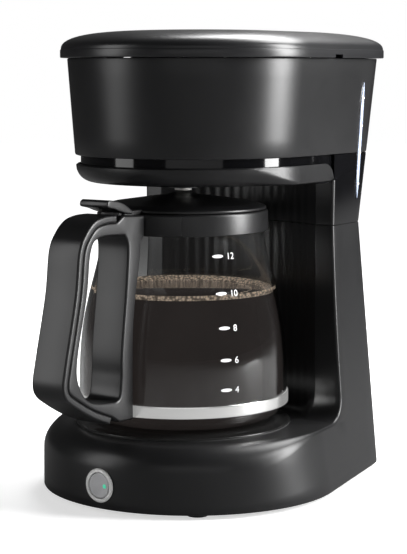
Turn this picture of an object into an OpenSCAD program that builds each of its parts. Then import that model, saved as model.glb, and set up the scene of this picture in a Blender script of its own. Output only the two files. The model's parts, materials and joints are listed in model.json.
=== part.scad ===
// Drip coffee maker with a glass carafe, in millimetres.
// +Z is up, the front faces -Y, and the origin is on the standing surface under the carafe's axis.

/* [Base] */
// Radius of the round front of the base
base_r = 106; // [100:1:130]
// How far the centre of that round front lies behind the carafe's axis
base_cy = 11; // [6:1:16]
// Distance from the carafe's axis to the back of the base
base_rear = 148; // [142:1:180]
// Half the width of the base between its rear corners
base_rear_half = 82; // [80:1:100]
// Radius of the upright rear corners
corner_r = 20; // [14:1:24]
// Height of the rubber feet
foot_h = 3; // [2:0.5:6]
// Height of the base moulding up to its deck
base_h = 45; // [42:1:60]
// Radius of the rounded shoulder round the deck
shoulder_r = 18; // [10:1:22]
// Wall thickness of the mouldings
wall = 2.5; // [1.8:0.1:3]

/* [Column] */
// Distance from the carafe's axis to the front face of the column
column_front = 66; // [64:1:72]
// Depth of the hollow in the column behind the carafe
bay_depth = 16; // [14:1:22]
// Half the width of that hollow
bay_half = 69; // [64:1:74]
// Radius of the column's outline at its waist
waist_r = 88; // [85:1:96]
// Half the width between the rear corners at the waist
waist_half = 80; // [78:1:90]
// Distance from the carafe's axis to the back of the waist
waist_rear = 122; // [120:1:140]

/* [Head] */
// How far the centre of the head's round front lies behind the carafe's axis
head_cy = 14; // [10:1:18]
// Radius of the head's front at its lower edge
head_low_r = 85; // [83:1:100]
// Radius of the head's front at its top
head_top_r = 90.4; // [88:0.2:105]
// Half the width between the rear corners at the head's lower edge
head_low_half = 83.4; // [82:0.2:95]
// Half the width between the rear corners at the head's top
head_top_half = 88; // [86:1:100]
// Distance from the carafe's axis to the back of the head's lower edge
head_low_rear = 127; // [125:1:145]
// Distance from the carafe's axis to the back of the head's top
head_top_rear = 134; // [132:1:150]
// Height of the legs of the arch frame below the chin
leg_h = 32; // [24:1:44]
// Height of the chin under the head
chin_h = 13; // [11:1:20]
// How far the chin stands back from the housing's lower edge
chin_inset = 2.5; // [1:0.5:4]
// Height of the dark trim band
band_h = 6; // [4:0.5:10]
// How far the trim band stands back from the housing's lower edge
band_inset = 4; // [2:0.5:6]
// Height of the upper housing
housing_h = 68; // [60:1:90]

/* [Lid] */
// How far the lid stands out over the housing
lid_overhang = 5; // [3:0.5:8]
// Height of the lid's upright rim
lid_rim_h = 6; // [4:0.5:10]
// Height of the lid's dome above its rim
lid_dome_h = 13.7; // [12:0.1:24]
// Radius of the lid hinge's knuckles
knuckle_r = 3.5; // [3:0.1:3.8]
// Diameter of the lid hinge's pins
lid_pin_d = 3; // [2:0.1:4]

/* [Carafe] */
// Largest radius of the glass
glass_r = 73.6; // [70:0.2:75]
// Radius of the glass at its neck
glass_neck_r = 57.2; // [52:0.2:62]
// Radius of the flat the glass stands on
glass_foot_r = 52; // [46:1:58]
// Height of the glass
glass_h = 148; // [125:1:180]
// Thickness of the glass
glass_wall = 2.4; // [2:0.1:4]
// Height of the collar round the neck
collar_h = 15; // [12:1:20]
// Thickness of the collar
collar_wall = 2.8; // [2:0.1:4]
// Height of the steel band round the glass
strap_h = 8; // [5:1:12]
// Thickness of the steel band
strap_t = 0.8; // [0.6:0.1:1.2]
// Height of the carafe's lid above the rim of the glass
carafe_lid_h = 12; // [10:1:16]
// Distance from the carafe's axis to its lid hinge
carafe_hinge_y = 80; // [76:1:84]
// Diameter of that hinge's pin
carafe_pin_d = 3; // [2:0.1:4]

/* [Handle] */
// Width of the handle
handle_w = 27; // [22:1:34]
// Distance from the carafe's axis to the outside of the handle
handle_reach = 148; // [140:1:165]
// Thickness of the outer cover of the handle
cover_t = 5; // [3:0.5:7]

/* [Brewing] */
// Radius of the brew chamber's mouth
chamber_r = 62; // [58:1:66]
// Radius of the brew chamber at its floor
chamber_foot_r = 48; // [44:1:52]
// Clearance of the brew basket in its chamber
basket_gap = 1.5; // [1:0.1:2.5]
// Wall thickness of the brew chamber, basket and reservoir
thin_wall = 2; // [1.5:0.1:2.5]
// Drop of the drip-stop valve when the carafe is taken out
valve_drop = 3.5; // [2:0.1:4]
// Diameter of the valve's stem
stem_d = 5; // [4:0.1:6]
// Gap between the carafe's lid and the chin
lid_headroom = 7; // [6:0.5:12]
// Gap between the carafe's lid and the valve's foot, which lets the lid tip as it slides out
valve_gap = 1.3; // [1.2:0.1:3]
// Radius of the shower head over the basket
shower_r = 40; // [30:1:46]

/* [Heater] */
// Radius of the raised disc of the warming plate
disc_r = 66; // [60:1:68]
// Radius of the warming plate's flange
plate_r = 76; // [74:1:78]
// Thickness of the warming plate
plate_t = 1; // [0.8:0.1:1.5]
// Height of the disc above the flange
plate_rise = 0.8; // [0.5:0.1:2]
// Radius of the heating element's water tube, along its centre line
element_r = 54; // [50:1:56]
// Outer diameter of the water tube and its stubs
water_d = 9; // [8:0.2:10]
// Wall thickness of the silicone hoses
hose_wall = 1.8; // [1.4:0.1:2.2]

/* [Button] */
// Diameter of the power button
button_d = 17; // [14:0.5:20]
// Width of the silver ring's face round the button
bezel_w = 3; // [2:0.1:5]
// Height of the button's axis above the bottom of the base
button_h = 16; // [14:0.5:20]
// Travel of the power button
button_travel = 2.5; // [1.5:0.1:3]
// Diameter of the green lamp in the button
lamp_d = 4; // [3:0.1:5]

/* [Fits] */
// Clearance of a pin or shaft in its bore, on the radius
fit = 0.05; // [0.02:0.01:0.1]
// Clearance between parts that move past each other
gap = 0.3; // [0.2:0.05:0.5]

/* [Hidden] */
$fn = 64;

// Points on the round front of an outline, and steps round each rear corner
front_steps = 32;
corner_steps = 6;

// Heights above the standing surface
deck_z = foot_h + base_h;
seal_t = 0.8;
flange_z = deck_z + seal_t;
plate_z = flange_z + plate_t + plate_rise;
carafe_z = plate_z + gap;
glass_top = carafe_z + glass_h;
carafe_lid_z = glass_top + carafe_lid_h;
chin_z = carafe_lid_z + lid_headroom;
waist_z = chin_z - leg_h;
band_z = chin_z + chin_h;
housing_z = band_z + band_h;
rim_z = housing_z + housing_h;
lid_z = rim_z + gap;
dome_z = lid_z + lid_rim_h;
brew_deck_z = rim_z - 10;
liner_z = rim_z - 2;
button_z = foot_h + button_h;

// ---- Outlines: a round front joined by straight sides to two rear corners ----

function mix(a, b, t) = a + (b - a) * t;
function clamp01(t) = min(1, max(0, t));
function ease(t) = t * t * (3 - 2 * t);

// The outline at height z, as [front radius, front centre, rear half width, rear distance]
base_line = [base_r, base_cy, base_rear_half, base_rear];
waist_line = [waist_r, base_cy, waist_half, waist_rear];
low_line = [head_low_r, head_cy, head_low_half, head_low_rear];
top_line = [head_top_r, head_cy, head_top_half, head_top_rear];
function rise(z, z0, z1) = clamp01((z - z0) / (z1 - z0));
function flare(z) = pow(1 - rise(z, foot_h, waist_z), 1.4);
function foot_line(z) =
    let (t = rise(z, foot_h, waist_z))
    [mix(waist_r, base_r, flare(z)), base_cy,
     mix(base_rear_half, waist_half, t), mix(base_rear, waist_rear, t)];
function line_at(z) =
    z < waist_z ? foot_line(z)
    : z < housing_z ? waist_line + (low_line - waist_line) * rise(z, waist_z, housing_z)
    : low_line + (top_line - low_line) * rise(z, housing_z, rim_z);

// Angle of the outward normal of the straight side, from +X
function side_angle(s) =
    let (dx = s[2] - corner_r, dy = s[3] - corner_r - s[1])
    atan2(dy, dx) - acos((s[0] - corner_r) / norm([dx, dy]));
// Half width of the outline on its straight side, at distance y behind the carafe's axis
function side_x(s, y, g = 0) =
    let (a = side_angle(s)) (s[0] + g - (y - s[1]) * sin(a)) / cos(a);

function arc(r, centre, a0, a1, steps) =
    [for (i = [0:steps]) let (a = mix(a0, a1, i / steps)) centre + r * [cos(a), sin(a)]];
function rear_arcs(s, g) =
    let (a = side_angle(s), x = s[2] - corner_r, y = s[3] - corner_r)
    concat(arc(corner_r + g, [x, y], a, 90, corner_steps),
           arc(corner_r + g, [-x, y], 90, 180 - a, corner_steps));
function front_arc(s, g) =
    let (a = side_angle(s)) arc(s[0] + g, [0, s[1]], 180 - a, 360 + a, front_steps);
function outline(s, g = 0) = concat(front_arc(s, g), rear_arcs(s, g));
function raise(points, z) = [for (p = points) [p[0], p[1], z]];
function ring(z, g = 0) = raise(outline(line_at(z), g), z);

// A closed skin through rings of equal length; a looped one joins its last ring to its first
module skin(rings, looped = false) {
    n = len(rings[0]);
    m = len(rings);
    last = looped ? m - 1 : m - 2;
    sides = [for (k = [0:last], i = [0:n - 1], half = [0, 1])
        let (j = (i + 1) % n, u = (k + 1) % m)
        half == 0 ? [k * n + i, u * n + i, u * n + j] : [k * n + i, u * n + j, k * n + j]];
    caps = looped ? [] : [[for (i = [0:n - 1]) i], [for (i = [n - 1:-1:0]) (m - 1) * n + i]];
    polyhedron(points = [for (r = rings) each r], faces = concat(sides, caps));
}

// ---- The base and column in one moulding ----

// How fully a point takes the base's own front, from 0 at the column to 1 at the front
function front_share(a) = 1 - ease(clamp01((abs(a - 270) - 55) / 42));

// A ring of the base; turn is the angle travelled round its shoulder
function base_ring(z, rear_z, turn, g) =
    let (s = line_at(rear_z), a0 = side_angle(s), drop = 1 - cos(turn),
         y1 = column_front - 2 - g,
         y0 = mix(s[1] + (s[0] + g) * sin(a0), y1, 0.5),
         sides = [[side_x(s, y1, g), y1, z], [side_x(s, y0, g), y0, z]],
         front = [for (i = [0:front_steps])
             let (a = mix(180 - a0, 360 + a0, i / front_steps), w = front_share(a),
                  r = mix(s[0], base_r, w) - shoulder_r * drop * w + g * (1 - w * drop))
             [r * cos(a), s[1] + r * sin(a), z]])
    concat([for (p = sides) [-p[0], p[1], z]], front,
           [sides[1], sides[0]], raise(rear_arcs(s, g), rear_z));

// The hollow face behind the carafe, as points from the left leg to the right one
function bay_y(x) = column_front + bay_depth * (1 - pow(x / bay_half, 2));
function bay_curve(g) =
    [for (i = [0:front_steps]) let (x = mix(-bay_half, bay_half, i / front_steps))
        [x, bay_y(x) - g]];
function column_front_points(s, g) =
    let (y = column_front - g, x = side_x(s, y, g), leg = [mix(x, bay_half, 0.5), y])
    concat([[-x, y], [-leg[0], y]], bay_curve(g), [leg, [x, y]]);
function column_ring(z, g) =
    let (s = line_at(z)) raise(concat(column_front_points(s, g), rear_arcs(s, g)), z);

column_steps = 4;
shoulder_turns = [22.5, 45, 67.5, 90];
shoulder_z = deck_z - shoulder_r;
function shoulder_ring(turn, g) =
    let (z = shoulder_z + (shoulder_r + g) * sin(turn)) base_ring(z, z - 1, turn, g);
function body_rings(g) = concat(
    [base_ring(foot_h, foot_h, 0, g), base_ring(shoulder_z, shoulder_z - 1, 0, g)],
    [for (turn = shoulder_turns) shoulder_ring(turn, g)],
    [for (i = [0:column_steps]) column_ring(mix(deck_z + g, waist_z, i / column_steps), g)]);
function reversed(list) = [for (i = [len(list) - 1:-1:0]) list[i]];

plate_hole_r = plate_r - 4;
boss_r = 4;
screw_d = 3;
boss_places = let (r = plate_hole_r + boss_r + 4)
    [for (a = [39, 141, 218, 322]) r * [cos(a), sin(a)]];
boss_base_z = foot_h + wall;
boss_top = deck_z - wall + 0.8;

module at_places(places) {
    for (p = places) translate([p[0], p[1], 0]) children();
}

module upright(z0, z1, r) {
    translate([0, 0, z0]) cylinder(h = z1 - z0, r = r);
}

// A round bar along -Y to +Y
module along_y(x, y0, y1, z, r) {
    translate([x, y0, z]) rotate([-90, 0, 0]) cylinder(h = y1 - y0, r = r);
}

// A round bar along X
module along_x(x0, x1, y, z, r) {
    translate([x0, y, z]) rotate([0, 90, 0]) cylinder(h = x1 - x0, r = r);
}

base_front = base_r - base_cy;
bezel_r = button_d / 2 + bezel_w;
sleeve_wall = 1.4;
sleeve_r = button_d / 2 + sleeve_wall;
gland_x = -48;
gland_z = foot_h + 17;
gland_r = 6;
gland_rear = base_rear;

module lower_body() {
    color("#1c1c1e") difference() {
        union() {
            skin(concat(body_rings(0), reversed(body_rings(-wall))), looped = true);
            at_places(boss_places) upright(boss_base_z, boss_top, boss_r);
        }
        upright(deck_z - wall - 1, deck_z + 1, plate_hole_r);
        at_places(boss_places) upright(boss_base_z - 1, boss_base_z + 14, screw_d / 2 + fit);
        along_y(0, -base_front - 2, -base_front + 12, button_z, sleeve_r + fit);
        along_y(gland_x, base_rear - 12, base_rear + 2, gland_z, gland_r + fit);
    }
}

foot_r = 7;
foot_places = let (front = base_r - 15, side = base_rear_half - 20, back = base_rear - 22)
    [[front * sin(38), base_cy - front * cos(38)], [-front * sin(38), base_cy - front * cos(38)],
     [side, back], [-side, back]];
plug_r = 3;

module base_plate() {
    color("#242426") difference() {
        translate([0, 0, foot_h]) linear_extrude(wall)
            polygon(outline(line_at(boss_base_z + wall), -wall - gap));
        at_places(boss_places) upright(foot_h - 1, boss_base_z + 1, screw_d / 2 + fit);
        at_places(boss_places) upright(foot_h - 1, foot_h + 1.3, screw_d);
        at_places(foot_places) upright(foot_h - 1, boss_base_z + 1, plug_r);
        for (x = [-30:12:30]) translate([x - 2, -28, foot_h - 1]) cube([4, 56, wall + 2]);
    }
}

module feet() {
    color("#101010") at_places(foot_places) {
        upright(0, foot_h, foot_r);
        upright(foot_h - 0.5, boss_base_z, plug_r - fit);
    }
}

module base_screws() {
    color("silver") at_places(boss_places) {
        upright(foot_h + 0.1, foot_h + 1.3, screw_d - fit);
        upright(foot_h + 1.2, boss_base_z + 12, screw_d / 2);
    }
}

// ---- Warming plate and heater ----

module warming_plate() {
    under = plate_z - plate_t;
    slope = 2.5;
    color("#2b2a2a") rotate_extrude() polygon([
        [0, under], [disc_r - 0.5, under], [disc_r + slope - 0.5, flange_z], [plate_r, flange_z],
        [plate_r, flange_z + plate_t], [disc_r + slope, flange_z + plate_t],
        [disc_r, plate_z], [0, plate_z]]);
}

module plate_seal() {
    lip = 1.2;
    color("#3a3a3a") rotate_extrude() polygon([
        [plate_hole_r - fit, seal_low], [plate_hole_r - fit, deck_z], [plate_r - 0.3, deck_z],
        [plate_r - 0.3, flange_z], [plate_hole_r - lip, flange_z], [plate_hole_r - lip, seal_low]]);
}

plate_under = plate_z - plate_t;
hose_in = water_d / 2 + fit;
hose_r = hose_in + hose_wall;
clamp_t = 1.1;
clamp_r = hose_r + fit + clamp_t;
seal_lip = 1.5;
seal_low = deck_z - wall - seal_lip;
water_z = seal_low - gap - hose_r;
heater_r = element_r - water_d - 0.5;
element_gap = 35;
stub_x = element_r * sin(element_gap);
stub_y = element_r * cos(element_gap);
stub_end = element_r + 20;
element_bottom = water_z - water_d / 2;

module heating_element() {
    color("#b9bcc0") {
        rotate([0, 0, 90 + element_gap]) rotate_extrude(angle = 360 - 2 * element_gap) {
            difference() {
                union() {
                    translate([element_r, water_z]) circle(d = water_d);
                    translate([heater_r, water_z]) circle(d = water_d);
                    translate([heater_r, water_z]) square([element_r - heater_r, plate_under - water_z]);
                }
                translate([element_r, water_z]) circle(d = water_d - 3);
            }
        }
        for (side = [-1, 1]) difference() {
            along_y(side * stub_x, stub_y - 4, stub_end, water_z, water_d / 2);
            along_y(side * stub_x, stub_y - 5, stub_end + 1, water_z, water_d / 2 - 1.5);
        }
    }
}

stud_d = 5;
bracket_t = 2.5;
bracket_w = 16;

module element_bracket() {
    reach = element_r;
    color("#c7c9cc") difference() {
        translate([-reach, -bracket_w / 2, element_bottom - bracket_t])
            cube([2 * reach, bracket_w, bracket_t]);
        upright(element_bottom - bracket_t - 1, element_bottom + 1, stud_d / 2 + fit);
    }
}

module bracket_stud() {
    nut = element_bottom - bracket_t;
    color("#9a9ca0") {
        upright(nut - 1, plate_under, stud_d / 2);
        translate([0, 0, nut - 4]) cylinder(h = 4, d = 9, $fn = 6);
    }
}

sensor_y = -(element_r + heater_r) / 2;

module thermostat() {
    color("#d8d4c8") translate([0, sensor_y, 0]) {
        upright(element_bottom - 4, element_bottom, 8);
        upright(element_bottom - 11, element_bottom - 3.9, 6.5);
    }
}

fuse_r = 2;

module thermal_fuses() {
    color("#efefe6") for (side = [-1, 1]) rotate([0, 0, side * 42])
        along_x(-8, 8, sensor_y, element_bottom - fuse_r - 0.1, fuse_r);
}

// ---- Hoses: the reservoir feeds the element on the right, and the riser climbs on the left ----

bend_r = 14;
climb_y = column_front + bay_depth + wall + hose_r + 4;
tank_floor_z = waist_z + 3;
spigot_z = tank_floor_z - 11;
valve_z = mix(water_z, waist_z, 0.45);
valve_h = 26;
hose_grip = 10;

module hose_section() {
    difference() {
        circle(r = hose_r);
        circle(r = hose_in);
    }
}

// A hose from a stub at the back of the element up to height top
module climbing_hose(x, top) {
    start = stub_end - hose_grip;
    translate([x, start, water_z]) rotate([-90, 0, 0])
        linear_extrude(climb_y - bend_r - start) hose_section();
    translate([x, climb_y - bend_r, water_z + bend_r]) rotate([90, 0, 90])
        rotate([0, 0, -90]) rotate_extrude(angle = 90) translate([bend_r, 0]) hose_section();
    translate([x, climb_y, water_z + bend_r])
        linear_extrude(top - water_z - bend_r) hose_section();
}

module inlet_hoses() {
    color("#8f8f8a") {
        climbing_hose(stub_x, valve_z);
        translate([stub_x, climb_y, valve_z + valve_h])
            linear_extrude(spigot_z + hose_grip - valve_z - valve_h) hose_section();
    }
}

module check_valve() {
    spigot = water_d / 2;
    color("#e8e8e0") translate([stub_x, climb_y, 0]) difference() {
        union() {
            upright(valve_z, valve_z + valve_h, hose_r + 1.5);
            upright(valve_z - hose_grip, valve_z + valve_h + hose_grip, spigot);
        }
        upright(valve_z - hose_grip - 1, valve_z + valve_h + hose_grip + 1, spigot - 1.5);
    }
}

riser_join = waist_z - 20;
riser_top = brew_deck_z + 4;
gasket_h = 2;

module riser_hose() {
    color("#8f8f8a") climbing_hose(-stub_x, riser_join + hose_grip);
}

module riser_tube() {
    bore = water_d / 2 - 1.5;
    color("#dcdcd6") translate([-stub_x, climb_y, 0]) difference() {
        upright(riser_join, riser_top, water_d / 2);
        upright(riser_join - 1, riser_top + 1, bore);
    }
}

module outlet_gasket() {
    color("#a83a2c") translate([-stub_x, climb_y, 0]) difference() {
        upright(riser_top - 5, riser_top + gasket_h, hose_r);
        upright(riser_top - 6, riser_top, water_d / 2 + fit);
        upright(riser_top - 1, riser_top + gasket_h + 1, water_d / 2 - 1.5);
    }
}

module clamp_ring() {
    difference() {
        cylinder(h = 5, r = clamp_r);
        translate([0, 0, -1]) cylinder(h = 7, r = hose_r + fit);
    }
}

module hose_clamps() {
    color("#c0c2c4") {
        for (side = [-1, 1]) translate([side * stub_x, stub_end - hose_grip + 4, water_z])
            rotate([-90, 0, 0]) clamp_ring();
        for (z = [valve_z - 7, valve_z + valve_h + 2, spigot_z + 2])
            translate([stub_x, climb_y, z]) clamp_ring();
        translate([-stub_x, climb_y, riser_join + 2]) clamp_ring();
    }
}

// ---- Electrical pieces in the base ----

switch_depth = 16;
spring_room = 4;
button_back = -base_front + 9;
switch_y = button_back + spring_room;

module switch_body() {
    width = 18;
    color("#e4e2dc") translate([-width / 2, switch_y, boss_base_z])
        cube([width, switch_depth, button_z + 9 - boss_base_z]);
}

module button_bezel() {
    front = -base_front - 1.4;
    back = -base_front - fit;
    color("#cfcfcd") difference() {
        union() {
            along_y(0, front, back, button_z, bezel_r);
            along_y(0, back - 0.1, button_back, button_z, sleeve_r);
        }
        along_y(0, front - 1, button_back + 1, button_z, button_d / 2 + fit);
    }
}

lamp_x = button_d / 4 + 0.4;
button_front = -base_front - 1;

module power_button() {
    color("#7c7d7e") difference() {
        along_y(0, button_front, button_back, button_z, button_d / 2);
        along_y(lamp_x, button_front - 1, button_front + 6, button_z, lamp_d / 2 + fit);
        along_y(0, button_front + 4, button_back + 1, button_z, 2.5);
    }
}

module indicator_lens() {
    color("#58d060") along_y(lamp_x, button_front - 0.3, button_front + 6, button_z, lamp_d / 2);
}

// A spring's wire from height 0 to height h, as a tube of 6 sides
module coil(r, wire_r, h, turns) {
    steps = 16 * turns;
    rings = [for (k = [0:steps]) let (a = 360 * turns * k / steps, z = wire_r + (h - 2 * wire_r) * k / steps)
        [for (j = [0:5]) let (b = -60 * j, q = r + wire_r * cos(b))
            [q * cos(a), q * sin(a), z + wire_r * sin(b)]]];
    skin(rings);
}

module button_spring() {
    color("silver") translate([0, switch_y, button_z]) rotate([90, 0, 0])
        coil(2, 0.35, switch_y - button_front - 4.1, 4);
}

module terminal_block() {
    color("#e8e6e0") difference() {
        translate([gland_x - 16, base_rear - 52, boss_base_z]) cube([32, 14, 14]);
        for (i = [-1:1]) along_y(gland_x + 10 * i, base_rear - 53, base_rear - 37,
                                 boss_base_z + 8, 2);
    }
}

module cord_gland() {
    color("#161616") difference() {
        union() {
            along_y(gland_x, gland_rear - 0.9, gland_rear, gland_z, gland_r + 2.5);
            along_y(gland_x, gland_rear - 10, gland_rear - 0.8, gland_z, gland_r);
        }
        along_y(gland_x, gland_rear - 11, gland_rear + 1, gland_z, 3.6);
    }
}

// ---- The head: arch frame, panels and housing ----

chin_round = chin_h - 1;
cup_floor_z = chin_z + wall + thin_wall + gap;
cup_hole_r = 16;

// The outline of the chin, whose back follows the hollow of the column
function chin_share(a) = 1 - ease(clamp01((abs(a - 270) - 60) / 34));
function chin_ring(z, turn, g) =
    let (s = line_at(z), a0 = side_angle(s), drop = 1 - cos(turn), y = column_front - 1,
         front = [for (i = [0:front_steps])
             let (a = mix(180 - a0, 360 + a0, i / front_steps), w = chin_share(a),
                  r = s[0] - chin_inset * w - chin_round * drop * w + g)
             [r * cos(a), s[1] + r * sin(a)]],
         x = side_x(s, y, g))
    raise(concat([[-x, y]], front, [[x, y]], reversed(column_front_points(s, -wall - g))), z);

// A skin whose rings run along lines of equal length, taken in turn round its cross-section
module ribbon(lines) {
    skin([for (i = [0:len(lines[0]) - 1]) [for (line = lines) line[i]]]);
}

// A ring of the chin drawn in to a round hole
function hole_ring(r, z) =
    [for (p = chin_ring(z, 0, 0)) let (d = [p[0], p[1]], q = r * d / norm(d)) [q[0], q[1], z]];

module arch_frame() {
    outer = [for (turn = [90:-22.5:0])
        chin_ring(chin_z + chin_round * (1 - sin(turn)), turn, 0)];
    inner = [for (turn = [0:30:90])
        chin_ring(chin_z + wall + (chin_round - wall) * (1 - sin(turn)), turn, -wall)];
    hole_r = cup_hole_r + 10;
    leg_levels = [waist_z, chin_z + wall / 2];
    front = [for (z = leg_levels) raise(column_front_points(line_at(z), 0), z)];
    back = [for (z = leg_levels) raise(column_front_points(line_at(z), -wall), z)];
    color("#1b1b1d") {
        skin(concat([hole_ring(hole_r, chin_z)], outer, [chin_ring(band_z, 0, 0)],
                    [chin_ring(band_z, 0, -wall)], inner,
                    [hole_ring(hole_r, chin_z + wall)]), looped = true);
        ribbon([front[0], back[0], back[1], front[1]]);
    }
}

panel_front = column_front + wall + gap;
function panel_line(z, g) =
    let (s = line_at(z), y = panel_front, x = side_x(s, y, g))
    raise(concat([[x, y]], rear_arcs(s, g), [[-x, y]]), z);

module rear_panel() {
    levels = [waist_z, mix(waist_z, housing_z, 0.5), housing_z];
    color("#0c0c0d") ribbon(concat(
        reversed([for (z = levels) panel_line(z, 0)]), [for (z = levels) panel_line(z, -wall)]));
}

module trim_band() {
    color("#08080a") skin([
        ring(band_z, -band_inset), ring(housing_z, -band_inset),
        ring(housing_z, -band_inset - wall), ring(band_z, -band_inset - wall)], looped = true);
}

lug_w = 7;
lug_x = 40;
hinge_y = head_top_rear + knuckle_r;
hinge_z = rim_z - knuckle_r - 0.5;
lid_pin_r = lid_pin_d / 2;

module upper_housing() {
    color("#1e1e20") difference() {
        union() {
            skin([ring(housing_z), ring(rim_z), ring(rim_z, -wall), ring(housing_z, -wall)],
                 looped = true);
            for (x = [-lug_x - lug_w, lug_x]) {
                along_x(x, x + lug_w, hinge_y, hinge_z, knuckle_r);
                translate([x, hinge_y - knuckle_r - 2, hinge_z - 8])
                    cube([lug_w, knuckle_r + 2, 8]);
            }
        }
        along_x(-lug_x - lug_w - 1, lug_x + lug_w + 1, hinge_y, hinge_z, lid_pin_r + fit);
    }
}

// ---- Brewing ----

basket_top = brew_deck_z + thin_wall + 2;
valve_tip_z = carafe_lid_z + valve_gap;
function cup_r(z) = mix(chamber_foot_r, chamber_r, (z - cup_floor_z) / (brew_deck_z - cup_floor_z));
tank_front = chamber_r + 10;

module brew_chamber() {
    deck = brew_deck_z;
    foot = cup_floor_z;
    color("#26262a") difference() {
        union() {
            translate([0, 0, deck - thin_wall]) linear_extrude(thin_wall) intersection() {
                polygon(outline(line_at(deck - thin_wall), -wall - gap));
                translate([-150, -150]) square([300, 150 + tank_front - gap]);
            }
            rotate_extrude() polygon([
                [cup_hole_r, foot - thin_wall], [chamber_foot_r + thin_wall, foot - thin_wall],
                [chamber_r + thin_wall, deck - thin_wall], [chamber_r, deck],
                [chamber_foot_r, foot], [cup_hole_r, foot]]);
        }
        upright(deck - thin_wall - 1, deck + 1, chamber_r);
    }
}

tank_inset = band_inset + wall + 1;
tank_top = brew_deck_z - 1;
tank_low_front = climb_y - hose_r - 1;
channel_w = 2 * hose_r + 6;

module tank_plan(s, inset, front, g) {
    difference() {
        intersection() {
            polygon(outline(s, -inset - g));
            translate([-150, front + g]) square([300, 200]);
        }
        translate([-stub_x - channel_w / 2 - g, -10])
            square([channel_w + 2 * g, climb_y + hose_r + 12 + g]);
    }
}

module tank(g) {
    step_z = housing_z + 4;
    translate([0, 0, tank_floor_z + g]) linear_extrude(tank_top - tank_floor_z)
        tank_plan(line_at(tank_floor_z), tank_inset, tank_low_front, g);
    translate([0, 0, step_z + g]) linear_extrude(tank_top - step_z - g + (g > 0 ? 1 : 0))
        tank_plan(line_at(step_z), wall + 1, tank_front, g);
}

module reservoir() {
    spigot = water_d / 2;
    color("#3a3d42") difference() {
        union() {
            difference() {
                intersection() {
                    tank(0);
                    translate([-150, 0, 0]) cube([300, 200, tank_top]);
                }
                tank(thin_wall);
            }
            translate([stub_x, climb_y, 0]) upright(spigot_z, tank_floor_z + 1, spigot);
        }
        translate([stub_x, climb_y, 0]) upright(spigot_z - 1, tank_floor_z + 3, spigot - 1.5);
    }
}

window_y = head_low_rear - 28;
window_w = 5.5;
window_t = 1.2;
window_low = waist_z + 18;
window_high = rim_z - 17;

module sight_window() {
    rings = [for (z = [window_low, housing_z, window_high]) let (s = line_at(z))
        [for (p = [[0, fit], [0, window_t], [1, window_t], [1, fit]])
            let (y = window_y + window_w * p[0]) [side_x(s, y, p[1]), y, z]]];
    color("#9fb4c8") skin([for (r = rings) reversed(r)]);
}

module brew_basket() {
    top = brew_deck_z;
    floor_z = cup_floor_z + gap;
    tube_r = cup_hole_r - 4;
    bore = tube_r - thin_wall;
    seat_z = valve_tip_z + 6;
    foot = valve_tip_z + 2;
    out_top = chamber_r - basket_gap;
    out_foot = chamber_foot_r - basket_gap;
    color("#2c2c30") difference() {
        rotate_extrude() polygon([
            [stem_d / 2 + 0.5, seat_z], [bore, seat_z], [bore, foot], [tube_r, foot],
            [tube_r, floor_z], [out_foot, floor_z], [out_top, top + fit],
            [chamber_r + 3, top + fit], [chamber_r + 3, top + thin_wall],
            [out_top - thin_wall, top + thin_wall], [out_foot - thin_wall, floor_z + thin_wall],
            [bore, floor_z + thin_wall], [bore, seat_z + thin_wall],
            [stem_d / 2 + 0.5, seat_z + thin_wall]]);
        for (a = [0:30:330]) rotate([0, 0, a]) translate([out_foot - 7, 0, 0])
            upright(floor_z - 1, floor_z + 0.1, 1);
    }
}

seat_z = valve_tip_z + 6;
seal_z = seat_z + thin_wall + valve_drop + 0.1;
pad_h = 1.4;
pad_r = 6;

module valve_stem() {
    color("#e9e7df") {
        upright(valve_tip_z, valve_tip_z + pad_h, pad_r);
        upright(valve_tip_z + pad_h - 0.1, seal_z + 6, stem_d / 2);
        upright(seal_z + 2, seal_z + 3.5, pad_r);
    }
}

module valve_seal() {
    color("#b3462f") difference() {
        upright(seal_z, seal_z + 2, pad_r + 1);
        upright(seal_z - 1, seal_z + 3, stem_d / 2);
    }
}

module valve_spring() {
    base = valve_tip_z + pad_h;
    color("silver") translate([0, 0, base]) coil(stem_d / 2 + 1.4, 0.35, seat_z - base, 3);
}

// ---- Lid ----

post_r = 3;
post_places = [[-52, -22], [52, -22], [-56, 78], [56, 78]];
lid_core = [0, (head_cy + head_top_rear - head_top_r) / 2];
dome_shares = [1, 0.985, 0.95, 0.88, 0.75, 0.5, 0.2];
function shrink(points, t) = [for (p = points) lid_core + (p - lid_core) * t];
function dome_rise(t) = pow(1 - pow(t, 4), 0.42);
function lid_rings(g, z0, h) = let (rim = outline(top_line, lid_overhang + g))
    concat([raise(rim, z0)],
           [for (t = dome_shares) raise(shrink(rim, t), dome_z + h * dome_rise(t))]);

module lid_cover() {
    ceiling = lid_dome_h - wall;
    outer = lid_rings(0, lid_z, lid_dome_h);
    inner = lid_rings(-wall, lid_z - 1, ceiling);
    color("#151517") difference() {
        union() {
            difference() {
                skin(outer);
                skin(inner);
            }
            at_places(post_places) upright(liner_z + 2, dome_z + ceiling + 0.3, post_r);
            for (x = [-lug_x + gap, lug_x - lug_w - gap]) translate([x, 0, 0]) {
                along_x(0, lug_w, hinge_y, hinge_z, knuckle_r);
                translate([0, hinge_y - knuckle_r + 1, hinge_z]) cube([lug_w, knuckle_r, lid_z + 2 - hinge_z]);
            }
        }
        along_x(-lug_x - lug_w, lug_x + lug_w, hinge_y, hinge_z, lid_pin_r + fit);
        at_places(post_places) upright(liner_z, liner_z + 10, screw_d / 2 + fit);
    }
}

module lid_liner() {
    color("#222224") difference() {
        translate([0, 0, liner_z]) linear_extrude(2)
            polygon(outline(top_line, -wall - 2.2));
        at_places(post_places) upright(liner_z - 1, liner_z + 3, screw_d / 2 + fit);
    }
}

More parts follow.
